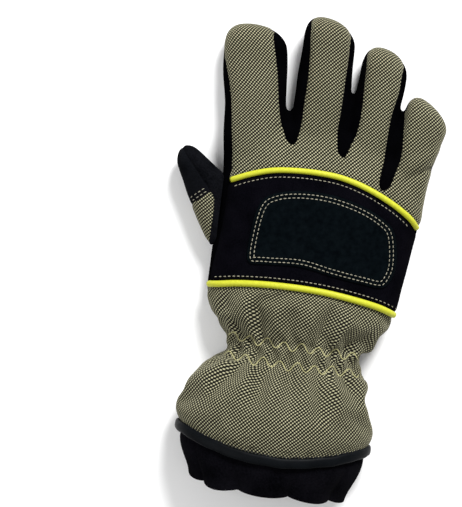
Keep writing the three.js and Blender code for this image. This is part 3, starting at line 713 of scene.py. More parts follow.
def nap_look(name, dark, light, sheen, scale=1400.0, depth=0.00018):
    """Short pile, such as suede, fleece or knit: dark, with a fine uneven surface."""
    look = Look(name, dark, 0.95)
    place = look.object_place()
    fine = look.noise(place, scale, 3.0)
    cloudy = look.noise(place, 60.0, 3.0)
    both = look.math("MULTIPLY_ADD", cloudy, 0.5, look.math("MULTIPLY", fine, 0.5))
    look.join(look.ramp(both, (0.35, dark), (0.68, light)), "Base Color")
    look.join(look.bump(fine, 0.5, depth), "Normal")
    look.set(Specular_IOR_Level=0.0, Sheen_Weight=sheen, Sheen_Roughness=0.6)
    return look.material


def grip_look():
    """Charcoal fabric with a fine pebbled grain."""
    look = Look("grip", (0.03, 0.036, 0.043), 0.75)
    place = look.object_place()
    grain = look.node("TexVoronoi", {"Vector": place, "Scale": 1100.0}, feature="F1").outputs["Distance"]
    fleck = look.noise(place, 1900.0, 2.0)
    cloudy = look.noise(place, 45.0, 3.0)
    tone = look.math("MULTIPLY_ADD", cloudy, 0.45, look.math("MULTIPLY", fleck, 0.55))
    look.join(look.ramp(tone, (0.3, (0.012, 0.015, 0.019)), (0.55, (0.030, 0.036, 0.043)),
                        (0.75, (0.085, 0.098, 0.110))), "Base Color")
    look.join(look.bump(grain, 0.5, 0.0003), "Normal")
    look.set(Specular_IOR_Level=0.25, Sheen_Weight=0.1)
    return look.material


def piping_look():
    look = Look("piping", (0.47, 0.48, 0.018), 0.5)
    place = look.object_place()
    ribs = look.noise(place, 700.0, 2.0)
    look.join(look.ramp(ribs, (0.3, (0.39, 0.405, 0.018)), (0.7, (0.46, 0.475, 0.028))), "Base Color")
    look.join(look.bump(ribs, 0.25, 0.0002), "Normal")
    look.set(Specular_IOR_Level=0.2)
    return look.material


def binding_look():
    look = Look("binding", (0.004, 0.005, 0.006), 0.42)
    place = look.object_place()
    grain = look.noise(place, 1200.0, 2.0)
    look.mottle(place, 80.0, (0.0012, 0.0016, 0.0022), (0.0028, 0.0036, 0.0046))
    look.join(look.ramp(grain, (0.3, (0.38,) * 3), (0.7, (0.55,) * 3)), "Roughness")
    look.join(look.bump(grain, 0.15, 0.0002), "Normal")
    look.set(Specular_IOR_Level=0.05)
    return look.material


def label_look():
    look = Look("label", (0.003, 0.005, 0.006), 0.8)
    place = look.object_place()
    parts = look.node("SeparateXYZ", {0: place})
    weft = look.math("SINE", look.math("MULTIPLY", parts.outputs[1], 2 * math.pi / 0.0006))
    warp = look.math("SINE", look.math("MULTIPLY", parts.outputs[0], 2 * math.pi / 0.0008))
    threads = look.math("MULTIPLY", weft, warp)
    look.mottle(place, 300.0, (0.0006, 0.0012, 0.0018), (0.0018, 0.0032, 0.0042))
    look.join(look.bump(threads, 0.25, 0.0001), "Normal")
    look.set(Specular_IOR_Level=0.01)
    return look.material


def thread_look(name, dark, light):
    look = Look(name, light, 0.7)
    look.mottle(look.object_place(), 1500.0, dark, light, 0.65)
    look.set(Specular_IOR_Level=0.3)
    return look.material


looks = {
    "weave": weave_look(),
    "suede": nap_look("suede", (0.0006, 0.0006, 0.0011), (0.0026, 0.0024, 0.0040), 0.003),
    "knit": nap_look("knit", (0.0003, 0.0003, 0.0005), (0.0012, 0.0012, 0.0016), 0.001, 2200.0),
    "fleece": nap_look("fleece", (0.0005, 0.0005, 0.0009), (0.0034, 0.0032, 0.0046), 0.006, 900.0, 0.0006),
    "pile": nap_look("pile", (0.0004, 0.0005, 0.0007), (0.0062, 0.0066, 0.0085), 0.004, 1200.0, 0.0004),
    "cover": nap_look("cover", (0.0014, 0.0016, 0.0022), (0.0060, 0.0066, 0.0085), 0.008),
    "grip": grip_look(),
    "piping": piping_look(),
    "binding": binding_look(),
    "label": label_look(),
    "thread": thread_look("thread", (0.12, 0.115, 0.085), (0.36, 0.34, 0.255)),
    "yellow_thread": thread_look("yellow_thread", (0.20, 0.19, 0.085), (0.46, 0.435, 0.215)),
    "black_thread": thread_look("black_thread", (0.004, 0.004, 0.005), (0.02, 0.02, 0.022)),
}


# Pieces

# Rows of the weave: the direction in degrees that each set of rows is counted in, and its repeat
back_rows = ((-44.0, 1.68), (47.0, 1.38))
gauntlet_rows = ((-47.0, 1.63), (44.0, 1.52))
CLOTH_SCALE = 0.01
FLAT_ENOUGH = 0.8

# The weave turns along the index finger, between these places
INDEX_TURN = math.radians(13.0)
INDEX_MIDDLE = -40.0
BEND_FROM = 116.0
BEND_TO = 160.0


def in_rows(places, rows):
    """Cloth places counted along the weave's two sets of rows, at one repeat for both."""
    out = []
    for turn, repeat in rows:
        ahead = np.array([math.cos(math.radians(turn)), math.sin(math.radians(turn))])
        out.append(places @ ahead * WEAVE_REPEAT / repeat)
    return np.stack(out, axis=1)


def cloth_plan(points):
    """The plan of the back, with the weave bent a little to the left along the index finger."""
    x, y = points[:, 0], points[:, 1]
    start, end = BEND_FROM, BEND_TO
    t = np.clip((y - start) / (end - start), 0, 1)
    turn = INDEX_TURN * (1 - smooth_step(-32.0, -18.0, x))
    turned_length = (end - start) * (t**3 - t**4 / 2) + np.maximum(y - end, 0)
    moved_x = x + turn * turned_length
    moved_y = y - turn * smooth_step(start, end, y) * (x - INDEX_MIDDLE)
    return np.stack([moved_x, moved_y], axis=1)


def lay_cloth(bm):
    """Unwraps a piece at its real size: its flat part lies as on the plan, its sides beside it."""
    layer = bm.loops.layers.uv.new("cloth")
    bm.verts.index_update()
    plan = cloth_plan(np.array([v.co[:] for v in bm.verts])) * CLOTH_SCALE
    for face in bm.faces:
        for loop in face.loops:
            loop[layer].uv = plan[loop.vert.index]
            loop[layer].pin_uv = loop.vert.normal.z > FLAT_ENOUGH
    mesh = bpy.data.meshes.new("cloth")
    bm.to_mesh(mesh)
    holder = placed("cloth", mesh)
    bpy.context.view_layer.objects.active = holder
    for other in bpy.context.selected_objects:
        other.select_set(False)
    holder.select_set(True)
    bpy.ops.object.mode_set(mode="EDIT")
    bpy.ops.mesh.select_all(action="SELECT")
    bpy.ops.uv.unwrap(method="CONFORMAL", margin=0.0)
    bpy.ops.object.mode_set(mode="OBJECT")
    data = mesh.uv_layers["cloth"].data
    uv = np.empty(len(data) * 2)
    data.foreach_get("uv", uv)
    places = in_rows(uv.reshape(-1, 2) / CLOTH_SCALE, back_rows)
    data.foreach_set("uv", (places * 0.001).ravel())
    bm.clear()
    bm.from_mesh(mesh)
    bpy.data.objects.remove(holder)


CROWDING = 0.8


def gather_cloth(bm):
    """Cloth places on the gauntlet: its threads run on through the wrist, so the elastic crowds them."""
    layer = bm.loops.layers.uv.new("cloth")
    bm.verts.index_update()
    points = np.array([v.co[:] for v in bm.verts])
    angle = section_angle(points)
    turns = np.linspace(0, 1, 40)[:, None]
    swept = math.pi / 2 + turns * (angle - math.pi / 2)[None, :]
    rows = hand_place(swept, np.broadcast_to(points[:, 1], swept.shape))
    steps = np.linalg.norm(np.diff(rows, axis=0)[..., [0, 2]], axis=-1)
    arc = steps.sum(axis=0) * np.sign(angle - math.pi / 2)
    half = np.interp(points[:, 1], arc_rows[0], arc_rows[1])
    cloth_half = np.interp(points[:, 1], [-61.0, 34.0], [arc_rows[1][0], arc_rows[1][-1]])
    across = arc * (1 + CROWDING * (cloth_half / half - 1))
    places = in_rows(np.stack([across, 1.05 * points[:, 1]], axis=1), gauntlet_rows) * 0.001
    for face in bm.faces:
        for loop in face.loops:
            loop[layer].uv = places[loop.vert.index]


def section_angle(points):
    """Angle round the section of the palm or gauntlet."""
    x, y, z = points.T
    left, right = curve(hand["y"], hand["left"], y), curve(hand["y"], hand["right"], y)
    top = curve(hand["y"], hand["top"], y)
    level = REST + 0.3 * (top - REST)
    across = (left + right - 2 * x) / (right - left)
    rise = np.where(z < level, (level - z) / (level - REST + 0.8), (z - level) / (top - level))
    power = np.where(z < level, 3.4, 2.2)
    size = (np.abs(across) ** power + rise**power) ** (1 / power)
    angle = np.arccos(np.clip(across / size, -1, 1))
    return np.where(z < level, -angle, angle)


def half_round(y):
    """Length of the skin from the ridge of the back to the side, at one section."""
    half = hand_place(np.linspace(0, math.pi / 2, 60), np.full(60, y))
    return np.linalg.norm(np.diff(half, axis=0)[:, [0, 2]], axis=1).sum()


arc_rows = np.array([(y, half_round(y)) for y in np.linspace(-61, 34, 40)]).T


def finish_piece(name, bm, look, nodes):
    """Moves a finished mesh to the frame, gives it its material, attaches it to the root and hides the parts
    it stands for.
    """
    bm.transform(TO_ROW)
    mesh = mesh_of(name, bm)
    mesh.shade_smooth()
    mesh.materials.append(looks[look])
    piece = placed(name, mesh)
    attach(piece, "root")
    if nodes:
        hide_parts(*nodes)
    return piece


surfaces = []

# Extra edges beside each seam, at these distances from it
SEAM_STEPS = (0.45, 1.1, 2.2, 3.6)


def cut_region(mesh, field, levels):
    """The part of a skin where the field is above zero, with extra edges along its seams."""
    bm = bmesh.new()
    bm.from_mesh(mesh)
    true = bm.verts.layers.float_vector.new("true")
    depth = bm.verts.layers.float.new("depth")
    for vert, value in zip(bm.verts, field):
        vert[true] = vert.co
        vert[depth] = value
        vert.co.z = value
    away = [v for v in bm.verts if v[depth] < -6.0]
    bmesh.ops.delete(bm, geom=away, context="VERTS")
    for level in (0.0, *levels):
        everything = bm.verts[:] + bm.edges[:] + bm.faces[:]
        bmesh.ops.bisect_plane(bm, geom=everything, dist=0.02, plane_co=(0, 0, level), plane_no=(0, 0, 1),
                               clear_inner=level == 0.0)
    for vert in bm.verts:
        vert.co = vert[true]
    loose = [v for v in bm.verts if not v.link_faces]
    bmesh.ops.delete(bm, geom=loose, context="VERTS")
    keep_largest(bm)
    bmesh.ops.dissolve_degenerate(bm, dist=0.03, edges=bm.edges[:])
    bm.normal_update()
    return bm, depth


def keep_largest(bm):
    """Drops the crumbs that a cut leaves beside the main part."""
    seen, groups = set(), []
    for face in bm.faces:
        if face in seen:
            continue
        group, queue = [], [face]
        seen.add(face)
        while queue:
            here = queue.pop()
            group.append(here)
            for edge in here.edges:
                for other in edge.link_faces:
                    if other not in seen:
                        seen.add(other)
                        queue.append(other)
        groups.append(group)
    groups.sort(key=len)
    for group in groups[:-1]:
        bmesh.ops.delete(bm, geom=group, context="FACES")


def panel(name, mesh, field, look, wall=WALL, roll=0.9, reach=1.7, lift=0.0, nodes=None):
    """A panel of the skin, rolled in at its seams and given its thickness."""
    bm, depth = cut_region(mesh, field, SEAM_STEPS)
    for vert in bm.verts:
        inward = roll * math.exp(-((vert[depth] / reach) ** 2))
        vert.co = vert.co + vert.normal * (lift - inward)
        vert.co.z = max(vert.co.z, REST - lift)
    if name == "gauntlet_back":
        gather_cloth(bm)
        gathered(bm, depth)
    elif look == "weave":
        lay_cloth(bm)
    surfaces.append(bm_surface(bm))
    thicken(bm, wall)
    return finish_piece(name + "_cloth", bm, look, nodes or [name])


# The elastic at the wrist: the cloth is longer than its place there, and a simulation makes it buckle
SIM_SCALE = 0.01
SIM_FRAMES = 12
SPARE_CLOTH = 0.15
SHARE_OF_MOVE = 0.75
MOST_MOVE = 4.0
EVEN_ROUNDS = 4
cloth_settings = dict(
    quality=5,
    mass=0.2,
    tension_stiffness=15.0,
    compression_stiffness=15.0,
    shear_stiffness=5.0,
    bending_stiffness=12.0,
    vertex_group_mass="held",
    vertex_group_shrink="kept",
    shrink_min=-SPARE_CLOTH,
    shrink_max=0.0,
)

# How much of the spare cloth there is, by the distance from the narrow of the wrist
spare_rows = table(
    "away share",
    (0.0, 0.15),
    (5.0, 0.15),
    (10.0, 1.0),
    (20.0, 1.0),
    (34.0, 0.45),
    (60.0, 0.15),
)


def elastic_distance(points):
    """Distance along the back from the nearer of the two elastic rows."""
    x, y, z = points.T
    upper = np.interp(x, (-38.0, 0.0, 38.0), UPPER_ELASTIC)
    lower = np.interp(x, (-38.0, 0.0, 38.0), LOWER_ELASTIC)
    return np.minimum(np.abs(y - upper), np.abs(y - lower))


def evened(bm, values):
    """Values at the points, averaged with those of their neighbours."""
    pairs = np.array([[v.index for v in edge.verts] for edge in bm.edges])
    for _ in range(EVEN_ROUNDS):
        total = values.copy()
        count = np.ones(len(values))
        for here, there in (pairs.T, pairs.T[::-1]):
            np.add.at(total, here, values[there])
            np.add.at(count, here, 1)
        values = total / count[:, None]
    return values


def gathered(bm, depth):
    """Lets the cloth grow between its seams and the elastic, so that it buckles as gathered cloth does."""
    bm.verts.ensure_lookup_table()
    bm.verts.index_update()
    points = np.array([v.co[:] for v in bm.verts])
    inside = np.array([v[depth] for v in bm.verts])
    mesh = bpy.data.meshes.new("gather")
    bm.to_mesh(mesh)
    set_points(mesh, points * SIM_SCALE)
    holder = placed("gather", mesh)
    held = holder.vertex_groups.new(name="held")
    kept = holder.vertex_groups.new(name="kept")
    by_seam = 1 - smooth_step(1.0, 3.5, inside)
    by_elastic = 0.85 * np.exp(-((elastic_distance(points) / 1.3) ** 2))
    hold = np.maximum(by_seam, by_elastic)
    spare = np.interp(np.abs(points[:, 1]), spare_rows["away"], spare_rows["share"])
    spare = spare * smooth_step(1.0, 8.0, inside)
    for i in range(len(points)):
        held.add([i], float(hold[i]), "REPLACE")
        kept.add([i], float(1 - spare[i]), "REPLACE")
    modifier = holder.modifiers.new("Cloth", "CLOTH")
    set_all(modifier.settings, cloth_settings)
    modifier.settings.effector_weights.gravity = 0.0
    modifier.collision_settings.use_collision = False
    modifier.point_cache.frame_end = SIM_FRAMES
    scene = bpy.context.scene
    for moment in range(1, SIM_FRAMES + 1):
        scene.frame_set(moment)
    moved = points_of(taken_from(holder)) / SIM_SCALE
    scene.frame_set(1)
    step = evened(bm, (moved - points) * SHARE_OF_MOVE)
    size = np.linalg.norm(step, axis=1)
    step *= np.minimum(1, MOST_MOVE / np.maximum(size, 1e-6))[:, None]
    for vert, place in zip(bm.verts, lie_flat(points + step)):
        vert.co = place
    bm.normal_update()


def thicken(bm, wall):
    """Gives a surface its wall, by an inner copy that is joined to it at its edges."""
    bm.normal_update()
    everything = bm.verts[:] + bm.edges[:] + bm.faces[:]
    made = bmesh.ops.extrude_face_region(bm, geom=everything, use_keep_orig=True)
    inner = [part for part in made["geom"] if isinstance(part, bmesh.types.BMVert)]
    moves = [vert.normal * -wall for vert in inner]
    for vert, move in zip(inner, moves):
        vert.co += move
    bmesh.ops.recalc_face_normals(bm, faces=bm.faces[:])


def bm_surface(bm):
    bm.verts.index_update()
    points = [v.co.copy() for v in bm.verts]
    faces = [[v.index for v in f.verts] for f in bm.faces]
    return points, faces


hand_points = points_of(skin)
hand_fields = seam_fields(hand_points)

panel_looks = {
    "back_panel": "weave",
    "knuckle_band": "suede",
    "gauntlet_back": "weave",
    "palm_panel": "grip",
    "gauntlet_palm": "grip",
    "index_middle_gusset": "knit",
    "middle_ring_gusset": "knit",
    "ring_little_gusset": "knit",
    "little_side_strip": "knit",
}
for panel_name, panel_look in panel_looks.items():
    panel(panel_name, skin, hand_fields[panel_name], panel_look)
panel("side_strip", skin, hand_fields["index_side_strip"], "knit",
      nodes=["index_side_strip", "thumb_side_strip"])


# Patches laid on the panels

def patch(name, outline, side, look):
    x, y, z = hand_points.T
    facing = z - MIDDLE if side > 0 else MIDDLE - z
    field = np.minimum(region(x, y, smooth_line(outline, closed=True)), facing)
    lift = PATCH + 0.1
    return panel(name, skin, field, look, wall=PATCH, roll=0.6, reach=1.0, lift=lift)


patch("label_patch", label_outline, 1, "label")
patch("upper_palm_patch", upper_patch_outline, -1, "grip")
patch("heel_patch", heel_patch_outline, -1, "grip")

TIP_PATCH = 30.0
for digit_name, digit in digits.items():
    digit_root, digit_ahead, digit_left = digit_axes(digit)
    offset_x = hand_points[:, 0] - digit_root[0]
    offset_y = hand_points[:, 1] - digit_root[1]
    run = offset_x * digit_ahead[0] + offset_y * digit_ahead[1]
    aside = offset_x * digit_left[0] + offset_y * digit_left[1]
    scaled = np.clip(run, 0, digit["reach"] - PALM_BORDER) * digit["reach"] / (digit["reach"] - PALM_BORDER)
    across = digit_half(digit, scaled, aside) - PALM_BORDER - 0.4 - np.abs(aside)
    tip = digit["reach"] - PALM_BORDER - 0.4 - run
    tip_field = np.minimum.reduce([across, tip, run - digit["reach"] + TIP_PATCH, MIDDLE - hand_points[:, 2]])
    panel(digit_name + "_fingertip_patch", skin, tip_field, "grip", wall=PATCH, roll=0.6, reach=1.0,
          lift=PATCH + 0.1)


# Thumb, in its own skin, which ends where it goes into the hand
thumb_points = points_of(thumb_skin)
skin_tree = BVHTree.FromPolygons([Vector(p) for p in hand_points], [p.vertices[:] for p in skin.polygons])


def outside_hand(point):
    place, normal, _, distance = skin_tree.find_nearest(Vector(point))
    side = (Vector(point) - place).dot(normal)
    return distance if side > 0 else -distance


clear = np.array([outside_hand(p) for p in thumb_points]) + 1.2
thumb_root, thumb_ahead, thumb_left = digit_axes(thumb)
thumb_run = (thumb_points[:, :2] - thumb_root) @ thumb_ahead
thumb_aside = (thumb_points[:, :2] - thumb_root) @ thumb_left
ridge_region = np.array(((-62.0, 40.0), (-60.8, 58.0), (-60.2, 80.0), (-61.0, 88.5), (-64.8, 93.1),
                         (-73.2, 102.6), (-81.8, 112.3), (-90.0, 124.0), (-30.0, 124.0), (-30.0, 40.0)))
ridge = -region(thumb_points[:, 0], thumb_points[:, 1], ridge_region)
THUMB_COVER = 30.0
HAND_EDGE = -56.6
under = thumb_half(thumb, np.clip(thumb_run, 0, 60), thumb_aside) - 3.0 - np.abs(thumb_aside)
under = np.minimum.reduce([under, MIDDLE - thumb_points[:, 2], thumb["reach"] - 3.0 - thumb_run])
thumb_fields = {
    "thumb_back": ("weave", "weave", [clear, ridge, THUMB_COVER - thumb_run, -under]),
    "thumb_tip_cover": ("cover", "suede", [clear, ridge, thumb_run - THUMB_COVER, -under]),
    "thumb_gusset": ("pile", "knit", [clear, -ridge, -under, HAND_EDGE - thumb_points[:, 0]]),
    "thumb_palm": ("grip", "grip", [clear, under]),
}
for piece_name, (piece_look, piece_slot, parts) in thumb_fields.items():
    panel(piece_name, thumb_skin, np.minimum.reduce(parts), piece_look, roll=0.5, reach=1.2)


# Everything that lies on the skin is set down on the panels made so far

def surface_tree():
    points, faces, start = [], [], 0
    for some_points, some_faces in surfaces:
        points += some_points
        faces += [[start + i for i in f] for f in some_faces]
        start = len(points)
    return BVHTree.FromPolygons(points, faces)


tree = surface_tree()


def set_down(x, y, side):
    """Place and normal of the surface over or under a point of the plan."""
    return tree.ray_cast(Vector((x, y, side * 200.0)), Vector((0, 0, -side)))[:2]


def even_steps(line, pitch, closed=False):
    """Points and directions at even steps along a line on the plan."""
    p = np.array(line, dtype=float)
    if closed:
        p = np.vstack([p, p[:1]])
    length = np.concatenate([[0], np.cumsum(np.hypot(*np.diff(p, axis=0).T))])
    count = max(int(length[-1] / pitch), 1)
    at = (np.arange(count) + 0.5) * length[-1] / count
    xs, ys = np.interp(at, length, p[:, 0]), np.interp(at, length, p[:, 1])
    ahead = np.interp(at + 0.4, length, p[:, 0]) - np.interp(at - 0.4, length, p[:, 0])
    up = np.interp(at + 0.4, length, p[:, 1]) - np.interp(at - 0.4, length, p[:, 1])
    return list(zip(xs, ys, ahead, up))


STITCH_PITCH = 2.7
STITCH_LENGTH = 1.9
THREAD = 0.29


def stitches(name, lines, side, look="thread", closed=False, pitch=STITCH_PITCH, length=STITCH_LENGTH):
    """Rows of stitches along lines on the plan, each a short thread pressed into the cloth."""
    bm = bmesh.new()
    for line in lines:
        for x, y, dx, dy in even_steps(line, pitch, closed):
            place, normal = set_down(x, y, side)
            if place is None:
                continue
            ahead = Vector((dx, dy, 0.0))
            ahead = (ahead - normal * ahead.dot(normal)).normalized()
            aside = normal.cross(ahead)
            turn = Matrix((ahead, aside, normal)).transposed().to_4x4()
            shape = Matrix.Diagonal((length / 2, THREAD, THREAD * 0.9, 1.0))
            at = Matrix.Translation(place + normal * THREAD * 0.25)
            bmesh.ops.create_uvsphere(bm, u_segments=6, v_segments=5, radius=1.0,
                                      matrix=at @ turn @ shape @ Matrix.Rotation(math.pi / 2, 4, "Y"))
    return finish_piece(name, bm, look, [])


def beside(line, shift):
    """A line moved square to itself, to its left."""
    p = np.array(line, dtype=float)
    along = np.gradient(p, axis=0)
    normal = np.stack([-along[:, 1], along[:, 0]], axis=1)
    return p + shift * normal / np.linalg.norm(normal, axis=1)[:, None]


def piping_line(which, left, right, shift=0.0):
    xs = np.linspace(left, right, 60)
    return beside(np.stack([xs, curve(pipings["x"], pipings[which], xs)], axis=1), shift)


BESIDE_PIPING = PIPING / 2 + 2.3
stitches("upper_band_stitches", [piping_line("upper", -52.0, 61.0, -BESIDE_PIPING)], 1)
stitches("lower_band_stitches", [piping_line("lower", -54.0, 58.0, BESIDE_PIPING)], 1)

ROW_GAP = 2.3
label_line = smooth_line(label_outline, closed=True)


def inset_outline(outline, inset):
    """A closed line moved towards its inside."""
    area = np.sum(outline[:, 0] * np.roll(outline[:, 1], -1) - np.roll(outline[:, 0], -1) * outline[:, 1])
    step = np.roll(outline, -1, axis=0) - np.roll(outline, 1, axis=0)
    normal = np.stack([-step[:, 1], step[:, 0]], axis=1) * np.sign(area)
    return outline + inset * normal / np.linalg.norm(normal, axis=1)[:, None]


stitches("label_stitches", [inset_outline(label_line, 1.9), inset_outline(label_line, 1.9 + ROW_GAP)], 1,
         closed=True)
upper_patch_line = smooth_line(upper_patch_outline, closed=True)
heel_patch_line = smooth_line(heel_patch_outline, closed=True)
stitches("palm_patch_stitches",
         [inset_outline(line, inset) for line in (upper_patch_line, heel_patch_line) for inset in (1.5, 3.8)],
         -1, closed=True)
tip_rows = []
for digit in digits.values():
    digit_root, digit_ahead, digit_left = digit_axes(digit)
    for inset in (1.3, 1.3 + ROW_GAP):
        centre = digit_root + (digit["reach"] - TIP_PATCH + inset) * digit_ahead
        half = digit["width"] / 2 - PALM_BORDER - 1.0
        tip_rows.append([centre - half * digit_left, centre + half * digit_left])
stitches("fingertip_stitches", tip_rows, -1)
stitches("palm_hem_stitches", [[(-50.0, y), (52.0, y)] for y in (25.6, 27.7, 31.0)], -1)
thumb_rows = []
for gap in (-3.6, -1.4):
    centre = thumb_root + (THUMB_COVER - gap) * thumb_ahead
    thumb_rows.append([centre + 3.0 * thumb_left, centre + 17.0 * thumb_left])
stitches("thumb_stitches", thumb_rows, 1)


def round_lines(name, lines, thickness, steps):
    """Round threads along lines in space, closed at their ends."""
    data = bpy.data.curves.new(name, "CURVE")
    set_all(data, dict(dimensions="3D", bevel_depth=thickness / 2, bevel_resolution=steps))
    data.use_fill_caps = True
    for line in lines:
        spline = data.splines.new("POLY")
        spline.points.add(len(line) - 1)
        for spot, point in zip(spline.points, line):
            spot.co = (*point, 1.0)
    bm = bmesh.new()
    bm.from_mesh(taken_from(placed(name, data)))
    bmesh.ops.remove_doubles(bm, verts=bm.verts[:], dist=0.001)
    bmesh.ops.recalc_face_normals(bm, faces=bm.faces[:])
    return bm


def thread_line(name, lines, side, look, thickness):
    """Continuous threads along lines on the plan, half sunk in the cloth."""
    laid = []
    for line in lines:
        spots = [set_down(x, y, side) for x, y in line]
        laid.append([place + normal * thickness * 0.02 for place, normal in spots if place is not None])
    return finish_piece(name, round_lines(name, laid, thickness, 2), look, [])


ZIGZAG_PITCH = 10.5
ZIGZAG_HEIGHT = 2.5


def zigzag(centre, left, right):
    """Zigzag seam over the elastic, with rounded turns."""
    xs = np.arange(left, right, 0.45)
    phase = (xs - left) / ZIGZAG_PITCH * 2 * math.pi
    wave = np.sin(phase) + 0.18 * np.sin(xs / 3.1)
    ys = np.interp(xs, [left, 0, right], centre) + ZIGZAG_HEIGHT * wave
    return np.stack([xs, ys], axis=1)


thread_line("back_zigzags", [zigzag(UPPER_ELASTIC, -40.5, 41.5), zigzag(LOWER_ELASTIC, -41.5, 41.5)],
            1, "yellow_thread", 0.6)
thread_line("palm_zigzags", [zigzag((8.5, 8.0, 8.5), -35.0, 36.0), zigzag((-2.5, -3.0, -2.5), -35.0, 35.0)],
            -1, "thread", 0.75)


# Trims

def piping_cord(which, start, end, thickness):
    """The piping in the groove between two panels, from one angle round the hand to another."""
    line, outward, rises = [], [], []
    for angle in np.radians(np.linspace(start, end, 90)):
        y = 100.0
        for _ in range(8):
            x = hand_place(angle, np.array(y))[0]
            y = float(curve(pipings["x"], pipings[which], x))
        line.append(hand_place(angle, np.array(y)))
        away = hand_place(angle, np.array(y), 1.0, 1.0) - line[-1]
        outward.append(away / np.linalg.norm(away))
        place = tree.find_nearest(Vector(line[-1]))[0]
        rises.append((np.array(place) - line[-1]) @ outward[-1])
    rises = np.convolve(np.pad(rises, 5, mode="edge"), np.full(11, 1 / 11), mode="valid")
    points = [Vector(p + n * (rise + thickness * 0.24)) for p, n, rise in zip(line, outward, rises)]
    node = which + "_piping"
    return finish_piece(node + "_cord", round_lines(node, [points], thickness, 5), "piping", [node])


piping_cord("upper", 26, 168, UPPER_PIPING)
piping_cord("lower", 12, 167, PIPING)


def ring(profile_radius, around, profile_steps, place):
    """A closed ring, whose points are placed by the angle round the arm and round the rim."""
    bm = bmesh.new()
    bmesh.ops.create_circle(bm, segments=profile_steps, radius=profile_radius,
                            matrix=Matrix.Translation((10, 0, 0)) @ Matrix.Rotation(math.pi / 2, 4, "X"))
    bmesh.ops.spin(bm, geom=bm.verts[:] + bm.edges[:], cent=(0, 0, 0), axis=(0, 0, 1), angle=2 * math.pi,
                   steps=around, use_merge=True)
    bmesh.ops.remove_doubles(bm, verts=bm.verts[:], dist=1e-4)
    co = np.array([v.co[:] for v in bm.verts])
    angle = np.arctan2(co[:, 1], co[:, 0])
    rim = np.arctan2(co[:, 2], np.hypot(co[:, 0], co[:, 1]) - 10)
    for vert, point in zip(bm.verts, place(angle, rim)):
        vert.co = point
    bmesh.ops.recalc_face_normals(bm, faces=bm.faces[:])
    return bm


BINDING_LENGTH = 6.4


def squared_off(value, power):
    """A sine or cosine brought nearer to 1 or -1, which makes a round profile squarer."""
    return np.sign(value) * np.abs(value) ** power


def out_from_middle(hem, rise):
    """Directions square to the arm, from the middle of the hem's section to points on the hem."""
    radial = hem - np.array([(hand["left"][2] + hand["right"][2]) / 2, 0, REST + rise])
    radial[:, 1] = 0
    return radial / np.linalg.norm(radial, axis=1)[:, None]


def binding_place(angle, rim):
    """The binding wraps the hem: its profile is a flattened round, thicker than the wall."""
    outward = squared_off(np.cos(rim), 0.7)
    along = squared_off(np.sin(rim), 0.8)
    out = -1.2 + 1.9 * outward
    base = hand_place(angle, np.full(angle.shape, HEM_Y))
    point = base + out_from_middle(base, 15.15) * out[:, None]
    point[:, 1] = hem_at(base[:, 0]) - BINDING_LENGTH / 2 + along * BINDING_LENGTH / 2
    ripple = 0.25 * np.sin(angle * 17 + 1.0) * np.sin(angle * 5)
    point[:, 1] += ripple
    point[:, 2] = np.maximum(point[:, 2], 0.2)
    return point


finish_piece("binding_tape", ring(1.0, 180, 20, binding_place), "binding", ["cuff_binding"])

binding_row = [(x, hem_at(x) + 0.5) for x in np.linspace(-58.0, 48.0, 90)]
stitches("binding_stitches", [binding_row], 1, "black_thread", pitch=2.4, length=1.7)

# Lobes of the ruffle: where its notches lie round the arm, as shares of a full turn
notches = np.array([0.0, 0.095, 0.185, 0.30, 0.405, 0.50, 0.62, 0.73, 0.86, 1.0])


def lobes(angle):
    """0 at each notch of the ruffle and 1 at the middle of each lobe."""
    turn = (angle / (2 * math.pi)) % 1.0
    i = np.clip(np.searchsorted(notches, turn, side="right") - 1, 0, len(notches) - 2)
    t = (turn - notches[i]) / (notches[i + 1] - notches[i])
    return np.sin(t * math.pi) ** 0.7


CUFF_INSIDE = 24.0
CUFF_EDGE = -86.5


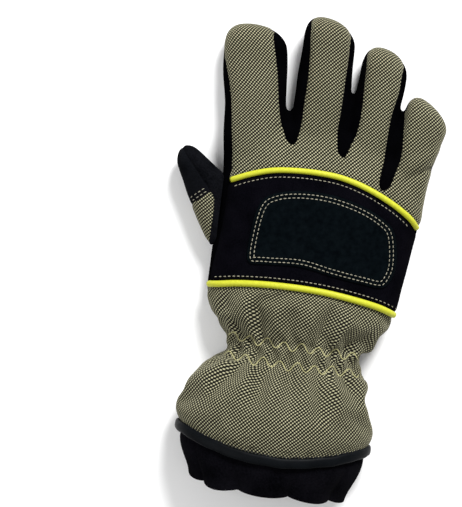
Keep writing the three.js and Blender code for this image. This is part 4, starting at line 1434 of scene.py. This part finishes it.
def wristlet_place(angle, rim):
    """The ruffled inner cuff: a soft wall from inside the gauntlet to its scalloped free edge."""
    along = (1 - np.sin(rim)) / 2
    outward = squared_off(np.cos(rim), 0.35)
    flat = np.cos(angle) ** 2
    rim_y = HEM_Y - HEM_DIP * (1 - flat) - BINDING_LENGTH / 2
    start = rim_y + CUFF_INSIDE
    lobe = lobes(angle)
    edge = CUFF_EDGE + 2.6 * (1 - lobe) + np.where(np.cos(angle) > 0, 8.5, 3.0) * flat**4
    y = start + (edge - start) * along
    free = smooth_step(0.0, 1.0, (rim_y - y) / (rim_y - edge))
    base = hand_place(angle, np.full(angle.shape, HEM_Y))
    pull = 5.8 - 3.4 * smooth_step(-10.0, 3.0, rim_y - y) + free**2 * (3.0 + 4.5 * flat) + 1.0 * (1 - outward)
    by_rim = 1.6 * np.exp(-(((rim_y - y - 2.0) / 4.0) ** 2))
    pull = pull + (0.6 + 2.4 * free + by_rim) * (1 - lobe)
    point = base - out_from_middle(base, 21.84) * pull[:, None]
    inside = hand_place(angle, np.maximum(y, HEM_Y), 1.0, -6.0)
    deep = smooth_step(6.0, 12.0, y - rim_y)[:, None]
    point = point * (1 - deep) + inside * deep
    point[:, 1] = y
    point[:, 2] = np.maximum(point[:, 2], REST + 0.3)
    return point


wristlet = ring(1.0, 240, 56, wristlet_place)
finish_piece("ruffled_cuff", wristlet, "fleece", ["wristlet"])


# Stage, light and camera
floor_bm = bmesh.new()
bmesh.ops.create_grid(floor_bm, x_segments=1, y_segments=1, size=3.0)
floor = placed("floor", mesh_of("floor", floor_bm))
floor.location.z = -0.0005
floor.data.materials.append(Look("floor", (0.93, 0.93, 0.93), 0.8).material)

world = bpy.data.worlds.new("studio")
world.use_nodes = True
world.node_tree.nodes["Background"].inputs[0].default_value = (1.0, 1.0, 1.0, 1.0)
world.node_tree.nodes["Background"].inputs[1].default_value = 0.48
bpy.context.scene.world = world


def soft_light(name, place, size, power):
    data = bpy.data.lights.new(name, "AREA")
    data.shape = "DISK"
    data.size = size
    data.energy = power
    lamp = placed(name, data)
    lamp.location = place
    lamp.rotation_euler = (Vector(place) * -1).to_track_quat("-Z", "Y").to_euler()


soft_light("key", (0.6, 1.9, 1.75), 1.0, 112)
soft_light("fill", (-1.0, -0.3, 1.3), 1.4, 12)

# The photo looks straight down, with the hand leaning 8 degrees to the right of the picture's up
PHOTO_WIDTH = 0.2818
PHOTO_CENTRE = Vector((-0.0383, -0.0040, 0.02))
CAMERA_RISE = 1.7
PHOTO_TURN = math.radians(8.0)
camera_data = bpy.data.cameras.new("photo")
camera_data.sensor_fit = "HORIZONTAL"
camera_data.sensor_width = 36.0
camera_data.lens = 36.0 * CAMERA_RISE / PHOTO_WIDTH
camera = placed("photo", camera_data)
camera.location = PHOTO_CENTRE + Vector((0, 0, CAMERA_RISE))
camera.rotation_euler = (0.0, 0.0, PHOTO_TURN)
bpy.context.scene.camera = camera
bpy.context.scene.view_settings.view_transform = "Standard"
